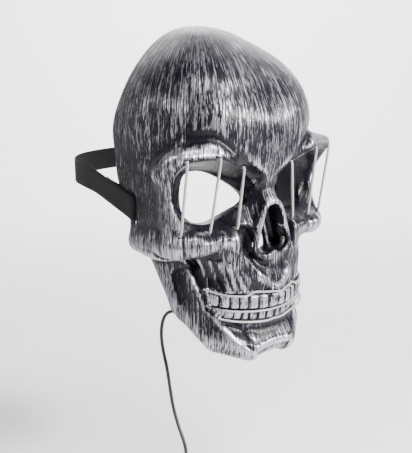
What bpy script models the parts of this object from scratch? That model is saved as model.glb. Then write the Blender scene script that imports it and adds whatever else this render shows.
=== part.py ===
"""Skull mask for theatre and carnival.

A hollow half shell of moulded plastic with wires across its eyes and mouth, a strap that goes round
the back of the head, and a lead that hangs from the jaw with its spare length coiled.
Metres, +Z up, the face looks along -Y and the wearer's left is +X.
"""
import math

import bpy
import bmesh
import numpy as np
from mathutils import Vector
from mathutils.bvhtree import BVHTree

# Driving sizes of the shell, in metres
FACE_HEIGHT = 0.100      # root of the nose to the foot of the lower teeth
FACE_WIDTH = 0.172       # across the cheekbones
FACE_DEPTH = 0.113       # front teeth to the rim at the temples
WALL = 0.0022            # moulded plastic
CLEARANCE = 0.0003       # between pieces that touch

# Wires
WIRE = 0.0023            # diameter of a wire
WIRE_HOLE = 0.0042       # diameter of the drilled holes that a wire ends in
WIRE_TAIL = 0.0030       # length of a wire behind the wall
WIRE_BEND = 0.0018       # how far a wire stands off before it bends down
WIRE_LIFT = 0.0011       # gap between a mouth wire and the teeth

# Strap and its slots
STRAP_WIDTH = 0.020
STRAP_THICKNESS = 0.0013
STRAP_REACH = 0.142      # slot to the back of the loop
STRAP_FOLD = 0.022       # length of the folded end behind the rim
STRAP_RISE = 0.28        # how much it climbs in its length beside the slot
SLOT_WIDTH = 0.0036
SLOT_LENGTH = 0.0255
TOP_SLOT_WIDTH = 0.0030
TOP_SLOT_LENGTH = 0.024
THROUGH = 0.006          # how far a slot's cutter runs past each face of the wall

# Lead
CORD = 0.0030            # diameter of the lead
COIL_TURNS_ACROSS = 3    # turns beside each other, and on each other, in the coil
COIL_DIAMETER = 0.0345   # at the middle of its turns
COIL_DROP = 0.0335       # end of the chosen route to the middle of the coil
GLAND_DIAMETER = 0.0070
GLAND_LENGTH = 0.0120
GLAND_AXIS = (-0.20, 0.95, 0.20)
PLUG_DIAMETER = 0.0070
PLUG_LENGTH = 0.0260
TIE_WIDTH = 0.0050
TIE_THICKNESS = 0.0010

# Fineness of the meshes
NET_CELL = 0.026         # spacing, in shares, of the net that the shell's faces are read from
OUTER_KEPT = 0.100       # share of the net's faces that are kept outside
INNER_KEPT = 0.068       # and inside
FACET = 0.0009           # room for the flat faces where a strap or a wire lies on the shell
STRAP_SAMPLES = 84
CORD_POINTS = 36
COIL_SIDES = 24
KEPT_STEPS = np.linspace(1.0, 1.25, 11)   # more faces are kept until the shell is sound
WIRE_SIDES_RESOLUTION = 1
HOLE_SIDES = 8

# The tables below draw the skull in shares of these three sizes: x, y and z of 1.0 are as long as
# SHARE. The root of the nose is 0, 0, 0, and x is the distance from the middle on either side.
DRAWN_WIDTH = 1.72
DRAWN_DEPTH = 1.13
SHARE = np.array((FACE_WIDTH / DRAWN_WIDTH, FACE_DEPTH / DRAWN_DEPTH, FACE_HEIGHT))

# Forms that are joined in turn: name, kind, blend, and the centre and radii of a lump, the centre,
# half sizes and corner of a block, or the points and radii of a strand. A minus sign hollows out.
CORE = (
    ("cranium", "lump", 0.01, ((0, 0.84, 0.34), (0.79, 0.97, 0.92))),
    ("forehead", "lump", 0.14, ((0.30, 0.52, 0.50), (0.45, 0.61, 0.54))),
    ("temple", "block", 0.10, ((0, 0.66, -0.14), (0.80, 0.58, 0.42), 0.26)),
    ("upper jaw", "block", 0.12, ((0, 0.44, -0.66), (0.48, 0.54, 0.50), 0.24)),
)

FEATURES = (
    ("temple hollow", "-lump", 0.16, ((1.04, 0.26, 0.50), (0.28, 0.30, 0.24))),
    ("jaw side", "strand", 0.10, (
        (0.54, 0.62, -0.50, 0.12), (0.48, 0.42, -0.96, 0.12),
        (0.37, 0.12, -1.21, 0.13), (0.18, -0.05, -1.27, 0.12))),
    ("chin", "lump", 0.06, ((0, 0.04, -1.21), (0.27, 0.21, 0.17))),
    ("cheek arch", "strand", 0.08, (
        (0.40, 0.04, -0.38, 0.09), (0.60, 0.02, -0.39, 0.10), (0.73, 0.14, -0.41, 0.12),
        (0.73, 0.50, -0.45, 0.12), (0.69, 0.90, -0.46, 0.11))),
    ("brow", "strand", 0.12, (
        (0.05, 0.07, 0.08, 0.07), (0.22, -0.01, 0.17, 0.09), (0.50, 0.00, 0.29, 0.09),
        (0.75, 0.08, 0.29, 0.09), (0.81, 0.26, 0.16, 0.075))),
    ("outer eye rim", "strand", 0.08, (
        (0.78, 0.14, 0.24, 0.065), (0.765, 0.24, -0.04, 0.06), (0.75, 0.17, -0.36, 0.085))),
    ("nose", "strand", 0.08, (
        (0, 0.09, 0.04, 0.08), (0, -0.02, -0.10, 0.11), (0, 0.04, -0.40, 0.20), (0, 0.02, -0.80, 0.19))),
)

HOLLOWS = (
    ("beside the nose", "-strand", 0.04, (
        (0.27, -0.06, -0.33, 0.06), (0.25, -0.10, -0.46, 0.07), (0.16, -0.17, -0.58, 0.05))),
    ("below the cheek", "-lump", 0.08, ((0.64, -0.08, -0.70), (0.22, 0.30, 0.13))),
    ("above the chin", "-lump", 0.06, ((0, -0.27, -1.13), (0.30, 0.14, 0.08))),
)

RIDGES = (
    ("cheek to gum", "strand", 0.04, (
        (0.44, -0.03, -0.38, 0.05), (0.37, -0.03, -0.48, 0.035), (0.29, -0.06, -0.58, 0.03),
        (0.19, -0.11, -0.66, 0.03), (0.09, -0.155, -0.73, 0.03), (0, -0.17, -0.80, 0.03))),
    ("septum", "strand", 0.04, (
        (0, 0.06, -0.12, 0.03), (0, -0.03, -0.34, 0.024), (0, -0.08, -0.52, 0.03))),
)

# Lower jaw seen from the front: flat sides as direction in degrees and distance from the nose's root
JAW_SIDES = ((351, 0.685), (323, 1.085), (307, 1.272), (270, 1.375))
JAW_CORNER = 0.06
JAW_TOP = -0.60
JAW_FRONT = 0.02
JAW_SPREAD = 0.85
JAW_BLEND = 0.08

# Tooth arch seen from above: its front, how far back it is at the corners, its half width
ARCH_FRONT = -0.18
ARCH_DEPTH = 0.33
ARCH_CORNER = 0.50
ARCH_POWER = 2.3
ARCH_HALF_WIDTH = 0.52
ARCH_MIDDLE = -0.88
ARCH_HALF_HEIGHT = 0.24
ARCH_BACK = 0.60
ARCH_LEAN = 0.75
ARCH_BLEND = 0.05
LOWER_TEETH = -0.93
LOWER_TEETH_STEP = 0.05
LOWER_SET_BACK = 0.045

# Eye socket: flat sides that taper inwards, as direction in degrees and distance from its middle
SOCKET_MIDDLE = (0.47, -0.04)
SOCKET_SIDES = ((93, 0.28), (124, 0.28), (2, 0.36), (272, 0.25), (213, 0.27), (325, 0.37))
SOCKET_CORNER = 0.14
SOCKET_TAPER = 0.42
SOCKET_FACE = 0.02
SOCKET_FLOOR = 0.11
SOCKET_FLOOR_SLOPE = 0.17
SOCKET_EDGE = 0.04
SOCKET_FLOOR_EDGE = 0.06

# Nose opening: a pear between two circles, with a raised rim
NOSE_TOP = (-0.21, 0.08)
NOSE_FOOT = (0.08, -0.43, 0.09)
NOSE_RIM_PLACE = 0.015
NOSE_RIM_Y = -0.125
NOSE_RIM_RADIUS = 0.030
NOSE_FLOOR = 0.02
INNER_SOFTENING = 0.12

# Eye openings and nostrils: x and z of the points of a smooth outline
EYE_OUTLINE = (
    (0.665, -0.05), (0.63, -0.20), (0.52, -0.25), (0.38, -0.232), (0.20, -0.145), (0.155, -0.07),
    (0.215, 0.015), (0.40, 0.125), (0.55, 0.163), (0.635, 0.13))
EYE_CUT = (-0.02, 0.50)
NOSTRIL_MIDDLE = (0.058, -0.455)
NOSTRIL_RADII = (0.030, 0.036)
NOSTRIL_CUT = (-0.07, 0.40)

# Rim: how far back the shell ends, height against depth
RIM = (
    (-1.50, -0.06), (-1.40, 0.02), (-1.37, 0.08), (-1.31, 0.18), (-1.23, 0.25), (-1.15, 0.36),
    (-1.09, 0.43), (-0.91, 0.48), (-0.75, 0.56), (-0.60, 0.64), (-0.54, 0.69), (-0.46, 0.70),
    (-0.36, 0.69), (-0.24, 0.71), (-0.04, 0.82), (0.09, 0.87), (0.22, 0.91), (0.38, 0.94),
    (0.51, 0.945), (0.78, 0.88), (1.00, 0.86), (1.20, 0.87), (1.40, 0.88))

# Space that the shell's body is worked out in
BODY_LOW = np.array((-1.00, -0.35, -1.52))
BODY_HIGH = np.array((1.00, 1.25, 1.36))
BODY_END = 1.08
HOLLOW_END = 1.15

# Places on the shell
SEAT_HEIGHT = 0.40
SLOT_PLACE = (0.63, -0.17)
TOP_SLOT_PLACE = 0.787

# Eye wires: name, and x and z of the upper and of the lower hole
EYE_WIRES = (
    ("inner", (0.257, 0.177), (0.307, -0.285)),
    ("middle", (0.522, 0.281), (0.546, -0.300)),
    ("outer", (0.771, 0.272), (0.766, -0.300)),
)

# Mouth wires: name, height in the middle, height at the corner, half width
MOUTH_WIRES = (
    ("upper", -0.825, -0.790, 0.485),
    ("middle", -0.945, -0.905, 0.475),
    ("lower", -1.045, -0.985, 0.445),
)

# Strap behind the slots: share of the reach, x in shares, z in shares
STRAP_RUN = (
    (0.40, 0.810, -0.02), (0.55, 0.795, 0.00), (0.70, 0.745, 0.01), (0.84, 0.60, 0.02),
    (0.95, 0.34, 0.02), (1.00, 0.0, 0.02))

# Lead: where the gland ends, in shares, and the chosen points of the route from there to above the
# coil, in metres
GLAND_PLACE = (-0.465, 0.440, -1.085)
CORD_ROUTE = (
    (0, 0, 0), (-0.0020, 0.0080, 0.0007), (-0.0060, 0.0135, -0.0015), (-0.0093, 0.0155, -0.0075),
    (-0.0113, 0.0155, -0.0175), (-0.0115, 0.0140, -0.0305), (-0.0115, 0.0080, -0.0485),
    (-0.0115, 0.0040, -0.0655), (-0.0115, 0.0000, -0.0805), (-0.0115, -0.0070, -0.0955),
    (-0.0115, -0.0140, -0.1065), (-0.0115, -0.0170, -0.1145))


def length(*parts):
    return np.sqrt(sum(part * part for part in parts))


def join(a, b, blend):
    """Union of two distances with a rounded joint."""
    near = np.maximum(blend - np.abs(a - b), 0) / blend
    return np.minimum(a, b) - near * near * blend * 0.25


def meet(a, b, blend):
    return -join(-a, -b, blend)


def lump(x, y, z, centre, radii):
    px = (x - centre[0]) / radii[0]
    py = (y - centre[1]) / radii[1]
    pz = (z - centre[2]) / radii[2]
    near = length(px, py, pz)
    slope = length(px / radii[0], py / radii[1], pz / radii[2])
    return near * (near - 1.0) / np.maximum(slope, 1e-9)


def block(x, y, z, centre, half, corner):
    qx = np.abs(x - centre[0]) - half[0] + corner
    qy = np.abs(y - centre[1]) - half[1] + corner
    qz = np.abs(z - centre[2]) - half[2] + corner
    outside = length(np.maximum(qx, 0), np.maximum(qy, 0), np.maximum(qz, 0))
    inside = np.minimum(np.maximum(qx, np.maximum(qy, qz)), 0)
    return outside + inside - corner


def rod(x, y, z, start, end):
    """Distance to a rod between two points whose fourth number is the radius there."""
    ax, ay, az, first = start
    bx, by, bz, last = end
    dx, dy, dz = bx - ax, by - ay, bz - az
    along = ((x - ax) * dx + (y - ay) * dy + (z - az) * dz) / (dx * dx + dy * dy + dz * dz)
    along = np.clip(along, 0, 1)
    return length(x - ax - along * dx, y - ay - along * dy, z - az - along * dz) - (
        first + (last - first) * along)


def strand(x, y, z, *points):
    distance = rod(x, y, z, points[0], points[1])
    for start, end in zip(points[1:-1], points[2:]):
        distance = np.minimum(distance, rod(x, y, z, start, end))
    return distance


KINDS = {"lump": lump, "block": block, "strand": strand}


def add_forms(distance, forms, x, y, z):
    for name, kind, blend, sizes in forms:
        form = KINDS[kind.lstrip("-")](x, y, z, *sizes)
        if distance is None:
            distance = form
        elif kind.startswith("-"):
            distance = meet(distance, -form, blend)
        else:
            distance = join(distance, form, blend)
    return distance


def flat_sided(across, up, sides, corner):
    """Distance to a shape in a plane whose straight sides meet in round corners."""
    distance = None
    for degrees, reach in sides:
        turn = math.radians(degrees)
        side = across * math.cos(turn) + up * math.sin(turn) - reach
        distance = side if distance is None else meet(distance, side, corner)
    return distance


def tooth_arch(x, y, z):
    lower = np.clip((LOWER_TEETH - z) / LOWER_TEETH_STEP, 0, 1)
    front = ARCH_FRONT + LOWER_SET_BACK * lower + ARCH_DEPTH * (np.minimum(x, 0.60) / ARCH_CORNER) ** ARCH_POWER
    face = (front - y) * ARCH_LEAN
    band = meet(face, np.abs(z - ARCH_MIDDLE) - ARCH_HALF_HEIGHT, 0.08)
    band = meet(band, x - ARCH_HALF_WIDTH, 0.08)
    return np.maximum(band, y - ARCH_BACK)


def lower_jaw(x, y, z):
    outline = flat_sided(x, z, JAW_SIDES, JAW_CORNER)
    front = (JAW_FRONT + JAW_SPREAD * x - y) / math.hypot(1, JAW_SPREAD)
    return meet(meet(outline, front, JAW_BLEND), z - JAW_TOP, JAW_BLEND)


def eye_socket(x, y, z):
    side = flat_sided(x - SOCKET_MIDDLE[0], z - SOCKET_MIDDLE[1], SOCKET_SIDES, SOCKET_CORNER)
    cone = (side + SOCKET_TAPER * (y - SOCKET_FACE)) / math.hypot(1, SOCKET_TAPER)
    floor = y - SOCKET_FLOOR - SOCKET_FLOOR_SLOPE * x
    return meet(cone, floor, SOCKET_FLOOR_EDGE)


def nose_opening(x, z):
    top = (0, 0, NOSE_TOP[0], NOSE_TOP[1])
    foot = (NOSE_FOOT[0], 0, NOSE_FOOT[1], NOSE_FOOT[2])
    return rod(x, 0 * x, z, top, foot)


def skull_form(x, y, z, soften):
    """Distance to the skull's main form, in shares, with its hollows rounded by soften."""
    side = np.sqrt(x * x + 0.0004)
    distance = add_forms(None, CORE, side, y, z)
    distance = join(distance, lower_jaw(side, y, z), JAW_BLEND)
    distance = add_forms(distance, FEATURES, side, y, z)
    distance = join(distance, tooth_arch(side, y, z), ARCH_BLEND)
    distance = meet(distance, -eye_socket(side, y, z), SOCKET_EDGE + soften)
    distance = add_forms(distance, HOLLOWS, side, y, z)
    pear = nose_opening(side, z)
    rim = length(pear - NOSE_RIM_PLACE, y - NOSE_RIM_Y) - NOSE_RIM_RADIUS
    distance = join(distance, rim, 0.04)
    hollow = meet(pear + NOSE_RIM_PLACE, y - NOSE_FLOOR, 0.04 + soften)
    return meet(distance, -hollow, 0.02 + soften)


def outer_face(points):
    """Distance in metres to the outer face, for an array of points from the nose's root."""
    x, y, z = (points / SHARE).T
    distance = skull_form(x, y, z, 0.0)
    return add_forms(distance, RIDGES, np.sqrt(x * x + 0.0001), y, z) * FACE_HEIGHT


def inner_face(points):
    x, y, z = (points / SHARE).T
    return skull_form(x, y, z, INNER_SOFTENING) * FACE_HEIGHT + WALL


def slope_of(face, points, here):
    step = 0.0002
    parts = []
    for axis in range(3):
        moved = points.copy()
        moved[:, axis] += step
        parts.append((face(moved) - here) / step)
    return np.stack(parts, axis=1)


def settle(face, points, limit, steps=3):
    """Move points along the slope until they lie on the face."""
    for step in range(steps):
        here = face(points)
        slope = slope_of(face, points, here)
        move = here[:, None] * slope / np.maximum((slope * slope).sum(axis=1), 0.05)[:, None]
        points = points - np.clip(move, -limit, limit)
    return points


def surface_net(face, low, high, cell):
    """Points and four-sided faces that enclose the space where a field is negative."""
    axes = [share * cell * np.arange(math.floor(start / cell), math.ceil(end / cell) + 1)
            for share, start, end in zip(SHARE, low, high)]
    grid = np.stack(np.meshgrid(*axes, indexing="ij"), axis=-1)
    value = face(grid.reshape(-1, 3)).reshape(grid.shape[:3])
    inside = value < 0
    cells = tuple(size - 1 for size in value.shape)
    total = np.zeros((*cells, 3))
    count = np.zeros(cells)
    corners = [(i, j, k) for i in (0, 1) for j in (0, 1) for k in (0, 1)]
    for first in corners:
        for axis in range(3):
            if first[axis]:
                continue
            last = tuple(step + (axis == n) for n, step in enumerate(first))
            a, b = (tuple(slice(step, step + size) for step, size in zip(corner, cells))
                    for corner in (first, last))
            cross = inside[a] != inside[b]
            share = np.where(cross, value[a] / np.where(cross, value[a] - value[b], 1), 0)
            total += cross[..., None] * (grid[a] + share[..., None] * (grid[b] - grid[a]))
            count += cross
    active = count > 0
    number = np.full(cells, -1)
    number[active] = np.arange(active.sum())
    points = total[active] / count[active][:, None]
    quads = []
    for axis in range(3):
        across, up = [n for n in range(3) if n != axis]
        a = [slice(1, -1)] * 3
        b = [slice(1, -1)] * 3
        a[axis], b[axis] = slice(0, -1), slice(1, None)
        change = inside[tuple(a)] != inside[tuple(b)]
        where = np.argwhere(change)
        where[:, [across, up]] += 1
        around = []
        for shift_across, shift_up in ((-1, -1), (0, -1), (0, 0), (-1, 0)):
            spot = where.copy()
            spot[:, across] += shift_across
            spot[:, up] += shift_up
            around.append(number[tuple(spot.T)])
        around = np.stack(around, axis=1)
        turn = inside[tuple(a)][change]
        if axis == 1:
            turn = ~turn
        around[~turn] = around[~turn][:, ::-1]
        quads.append(around)
    return settle(face, points, cell * SHARE.min() / 2), np.concatenate(quads)


def smooth_curve(points, samples, closed=False):
    """Points evenly spread in number along a smooth curve through the given points."""
    points = np.array(points, float)
    count = len(points) if closed else len(points) - 1
    places = np.linspace(0, count, samples, endpoint=not closed)
    index = np.minimum(places.astype(int), count - 1)
    t = (places - index)[:, None]
    if closed:
        before, start, end, after = (points[(index + k) % count] for k in (-1, 0, 1, 2))
    else:
        ends = np.vstack((2 * points[0] - points[1], points, 2 * points[-1] - points[-2]))
        before, start, end, after = (ends[index + k] for k in (0, 1, 2, 3))
    return 0.5 * (2 * start + (end - before) * t + (2 * before - 5 * start + 4 * end - after) * t ** 2
                  + (3 * start - before - 3 * end + after) * t ** 3)


RIM_CURVE = smooth_curve(RIM, 400)


def rim_depth(z):
    """How far back the rim is at a height, both in metres from the nose's root."""
    return np.interp(z / SHARE[2], RIM_CURVE[:, 0], RIM_CURVE[:, 1]) * SHARE[1]


def first_hit(face, place, count, far, near, steps=240):
    """For each of a number of tracks, the place where it first meets the face from its far end."""
    outside = np.full(count, far)
    inside = outside.copy()
    found = np.zeros(count, bool)
    for reach in np.linspace(far, near, steps):
        now = face(place(np.full(count, reach))) < 0
        fresh = now & ~found
        inside[fresh] = reach
        found |= now
        outside[~found] = reach
    for step in range(24):
        middle = (outside + inside) / 2
        now = face(place(middle)) < 0
        inside = np.where(now, middle, inside)
        outside = np.where(now, outside, middle)
    return place((outside + inside) / 2)


def seen_along(face, starts, axis, far, near):
    """Outermost points of a face on lines through the starts along one axis."""
    starts = np.atleast_2d(starts).astype(float)

    def place(reach):
        points = starts.copy()
        points[:, axis] = reach
        return points
    return first_hit(face, place, len(starts), far, near)


def unit(vectors):
    return vectors / np.linalg.norm(vectors, axis=-1, keepdims=True)


def front_of(face, x, z):
    """Frontmost points of a face at x and z given in metres."""
    return seen_along(face, np.stack((x, 0 * x, z), axis=1), 1, -0.05, 0.09)


SEAT = seen_along(inner_face, (0, 0, SEAT_HEIGHT * SHARE[2]), 1, -0.05, 0.09)[0]


def material(name, colour, roughness, metallic=0.0):
    made = bpy.data.materials.new(name)
    made.use_nodes = True
    shader = made.node_tree.nodes["Principled BSDF"]
    shader.inputs["Base Color"].default_value = (*colour, 1.0)
    shader.inputs["Roughness"].default_value = roughness
    shader.inputs["Metallic"].default_value = metallic
    return made


def add_object(name, data, finish=None):
    made = bpy.data.objects.new(name, data)
    bpy.context.scene.collection.objects.link(made)
    if finish:
        data.materials.append(finish)
    return made


def loft(target, rings, closed=False):
    """Join rings of points, given from the nose's root, into one closed body of a bmesh."""
    rings = np.asarray(rings, float)
    if closed:
        rings = np.concatenate((rings, rings[:1]))
    rings = np.concatenate((rings, rings[:, :1]), axis=1) - SEAT
    rows, across = rings.shape[:2]
    made = bmesh.ops.create_grid(target, x_segments=across - 1, y_segments=rows - 1, size=1.0)["verts"]
    for vert, point in zip(made, rings.reshape(-1, 3)):
        vert.co = point
    bmesh.ops.remove_doubles(target, verts=made, dist=1e-6)
    if closed:
        return
    for end in (made[:across], made[-across:]):
        cap = target.faces.new([vert for vert in end if vert.is_valid])
        bmesh.ops.triangulate(target, faces=[cap], ngon_method="EAR_CLIP")


def finish_mesh(name, target):
    bmesh.ops.recalc_face_normals(target, faces=target.faces)
    mesh = bpy.data.meshes.new(name)
    target.to_mesh(mesh)
    target.free()
    mesh.shade_smooth()
    mesh.set_sharp_from_angle(angle=math.radians(40))
    return mesh


def mirrored(points):
    return np.asarray(points, float) * np.array((-1, 1, 1))


def plane_ring(outline, y):
    """Points of an outline in x and z, in shares, at one depth."""
    return np.array([(x, y, z) for x, z in outline]) * SHARE


def oval(middle, radii, count):
    turns = np.arange(count) * 2 * math.pi / count
    return np.stack((middle[0] + radii[0] * np.cos(turns), middle[1] + radii[1] * np.sin(turns)), axis=1)


def circle_at(centre, axis, radius, sides, start=0.0):
    """Ring of points round an axis."""
    axis = Vector(axis).normalized()
    across = axis.orthogonal().normalized()
    other = axis.cross(across)
    turns = start + np.arange(sides) * 2 * math.pi / sides
    return [np.array(centre) + radius * (math.cos(turn) * np.array(across) + math.sin(turn) * np.array(other))
            for turn in turns]


def box_rings(centre, size):
    """Two rings of a box, one at each end of its length along z."""
    x, y, z = np.array(size) / 2
    ring = np.array(((x, y, 0), (-x, y, 0), (-x, -y, 0), (x, -y, 0))) + np.array(centre)
    return [ring + np.array((0, 0, -z)), ring + np.array((0, 0, z))]


def eye_wire_points(upper, lower):
    """Ends in the wall of one eye wire, and the points where it bends, on the wearer's left."""
    x, z = (np.array((upper, lower)) * SHARE[[0, 2]]).T
    ends = list(front_of(outer_face, x, z))
    back = np.array((0, WALL + WIRE_TAIL, 0))
    off = np.array((0, -WIRE_BEND, 0))
    first, last = ends
    down = unit(last - first)
    bend = WIRE * 1.1
    route = [first + back, first + off * 0.2, first + off + down * bend,
             (first + last) / 2 + off, last + off - down * bend, last + off * 0.2, last + back]
    return ends, smooth_curve(route, 13)


def mouth_wire_points(middle, corner, half_width):
    """Points of a mouth wire along the teeth and the directions of its ends into the wall."""
    x = np.linspace(-1, 1, 15) * half_width
    z = middle + (corner - middle) * np.abs(x / half_width) ** 2.2
    on_teeth = front_of(outer_face, x * SHARE[0], z * SHARE[2])
    outward = unit(slope_of(outer_face, on_teeth, outer_face(on_teeth)))
    run = on_teeth + outward * (WIRE / 2 + WIRE_LIFT)
    return on_teeth, outward, run


def wire_object(name, points, finish):
    curve = bpy.data.curves.new(name, "CURVE")
    curve.dimensions = "3D"
    curve.bevel_depth = WIRE / 2
    curve.bevel_resolution = WIRE_SIDES_RESOLUTION
    curve.use_fill_caps = True
    spline = curve.splines.new("POLY")
    spline.points.add(len(points) - 1)
    for target, point in zip(spline.points, np.asarray(points) - SEAT):
        target.co = (*point, 1.0)
    return add_object(name, curve, finish)


def shell_cutters(target, eye_holes, mouth_holes):
    """All openings of the shell as separate closed bodies of one bmesh."""
    eye = smooth_curve(EYE_OUTLINE, 30, closed=True)
    nostril = oval(NOSTRIL_MIDDLE, NOSTRIL_RADII, 10)
    for outline, (front, back) in ((eye, EYE_CUT), (nostril, NOSTRIL_CUT)):
        rings = np.array([plane_ring(outline, front), plane_ring(outline, back)])
        loft(target, rings)
        loft(target, mirrored(rings))
    slot_y, slot_z = SLOT_PLACE[0] * SHARE[1], SLOT_PLACE[1] * SHARE[2]
    slot_x = seen_along(outer_face, (0, slot_y, slot_z), 0, 0.11, 0.03)[0][0] - WALL / 2
    slot = box_rings((slot_x, slot_y, slot_z), (WALL + 2 * THROUGH, SLOT_WIDTH, SLOT_LENGTH))
    loft(target, slot)
    loft(target, mirrored(slot))
    top = seen_along(outer_face, (0, TOP_SLOT_PLACE * SHARE[1], 0), 2, 0.16, 0.05)[0]
    loft(target, box_rings(top - np.array((0, 0, WALL / 2)),
                           (TOP_SLOT_LENGTH, TOP_SLOT_WIDTH, WALL + 2 * THROUGH)))
    for point in eye_holes:
        rings = np.array([circle_at(point + np.array((0, shift, 0)), (0, 1, 0), WIRE_HOLE / 2, HOLE_SIDES)
                          for shift in (-THROUGH, WALL + THROUGH)])
        loft(target, rings)
        loft(target, mirrored(rings))
    for point, outward in mouth_holes:
        loft(target, [circle_at(point + outward * shift, outward, WIRE_HOLE / 2, HOLE_SIDES)
                      for shift in (THROUGH, -WALL - THROUGH)])


def body_of(name, face, end, finish=None):
    """Object of the closed body in which a field is negative, cut off at a depth behind the rim."""
    points, quads = surface_net(lambda points: np.maximum(face(points), points[:, 1] - end * SHARE[1]),
                                BODY_LOW, BODY_HIGH, NET_CELL)
    mesh = bpy.data.meshes.new(name)
    mesh.from_pydata(points - SEAT, [], quads.tolist())
    mesh.shade_smooth()
    made = add_object(name, mesh, finish)
    made.modifiers.new("fewer faces", "DECIMATE")
    return made


def is_sound(made):
    """Whether each edge of an object's finished mesh has two faces and no faces cross."""
    mesh = made.evaluated_get(bpy.context.evaluated_depsgraph_get()).to_mesh()
    check = bmesh.new()
    check.from_mesh(mesh)
    closed = len(check.faces) > 0 and all(len(edge.link_faces) == 2 for edge in check.edges)
    bmesh.ops.triangulate(check, faces=check.faces)
    check.faces.ensure_lookup_table()
    corners = [{vert.index for vert in face.verts} for face in check.faces]
    tree = BVHTree.FromBMesh(check)
    crossing = any(not corners[a] & corners[b] for a, b in tree.overlap(tree) if a < b)
    check.free()
    return closed and not crossing


def behind_rim():
    """Body of all that lies behind the rim, as a prism along X."""
    y = RIM_CURVE[::10, 1] * SHARE[1]
    z = RIM_CURVE[::10, 0] * SHARE[2]
    back = BODY_HIGH[1] * SHARE[1]
    outline = np.stack((0 * y, y, z), axis=1)
    corners = np.array(((0, back, z[-1]), (0, back, z[0])))
    ring = np.concatenate((outline, corners))
    half = np.array((BODY_HIGH[0] * SHARE[0], 0, 0))
    target = bmesh.new()
    loft(target, (ring - half, ring + half))
    return add_object("behind_rim", finish_mesh("behind_rim", target))


def cut_away(shell, cutter):
    cutter.hide_render = True
    cutter.display_type = "WIRE"
    cut = shell.modifiers.new(cutter.name, "BOOLEAN")
    cut.operation = "DIFFERENCE"
    cut.solver = "EXACT"
    cut.object = cutter


def build_shell(eye_holes, mouth_holes):
    finish = material("brushed_silver_on_black", (0.16, 0.16, 0.18), 0.35, 0.7)
    shell = body_of("mask_shell", outer_face, BODY_END, finish)
    hollow = body_of("hollow", inner_face, HOLLOW_END)
    target = bmesh.new()
    shell_cutters(target, eye_holes, mouth_holes)
    cut_away(shell, behind_rim())
    cut_away(shell, hollow)
    cut_away(shell, add_object("openings", finish_mesh("openings", target)))
    for more in KEPT_STEPS:
        shell.modifiers["fewer faces"].ratio = OUTER_KEPT * more
        hollow.modifiers["fewer faces"].ratio = INNER_KEPT * more
        if is_sound(shell):
            break


def strap_plan():
    """Middle line of the strap from one folded end round the head to the other, seen from above."""
    slot = SLOT_PLACE[0] * SHARE[1]
    z = SLOT_PLACE[1] * SHARE[2]
    heights = z + np.linspace(-0.6, 0.6, 9) * STRAP_WIDTH
    depths = np.linspace(slot - SLOT_WIDTH, rim_depth(z + STRAP_WIDTH), 9)
    starts = np.array([(0, y, height) for y in depths for height in heights])
    outside = seen_along(outer_face, starts, 0, 0.11, 0.03)[:, 0].max() + FACET + STRAP_THICKNESS / 2
    inside = seen_along(inner_face, starts, 0, 0.11, 0.03)[:, 0].min() - FACET - STRAP_THICKNESS / 2
    rim = rim_depth(z + STRAP_WIDTH / 2)
    beside = outside - STRAP_THICKNESS - CLEARANCE
    fold = [
        (beside, rim + STRAP_FOLD, z), (beside, rim + 0.7 * STRAP_FOLD, z),
        (inside + 0.6 * (beside - inside), rim + 0.35 * STRAP_FOLD, z), (inside, rim, z),
        (inside, (rim + slot) / 2 + 0.001, z), (inside, slot + 0.0012, z),
        ((inside + outside) / 2, slot - 0.0002, z), (outside, slot + 0.0012, z),
        (outside, (rim + slot) / 2 + 0.001, z), (outside, rim, z), (outside, rim + STRAP_FOLD, z)]
    run = [(x * SHARE[0], slot + share * STRAP_REACH, height * SHARE[2]) for share, x, height in STRAP_RUN]
    fold = np.array(fold)
    fold[:, 2] += STRAP_RISE * (fold[:, 1] - slot)
    half = np.concatenate((fold, run))
    return np.concatenate((half, mirrored(half[-2::-1])))


def build_strap():
    plan = smooth_curve(strap_plan(), STRAP_SAMPLES)
    ahead = unit(np.gradient(plan, axis=0) * np.array((1, 1, 0)))
    across = np.stack((-ahead[:, 1], ahead[:, 0], 0 * ahead[:, 0]), axis=1) * STRAP_THICKNESS / 2
    up = np.array((0, 0, STRAP_WIDTH / 2))
    rings = np.stack((plan - across - up, plan + across - up, plan + across + up, plan - across + up), axis=1)
    target = bmesh.new()
    loft(target, rings)
    add_object("head_strap", finish_mesh("head_strap", target), material("black_webbing", (0.02, 0.02, 0.02), 0.85))


def turned(name, points, radii, sides, finish):
    """Body of circles round a straight axis."""
    points = np.array(points, float)
    axis = points[-1] - points[0]
    target = bmesh.new()
    loft(target, [circle_at(point, axis, radius, sides) for point, radius in zip(points, radii)])
    return add_object(name, finish_mesh(name, target), finish)


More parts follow.
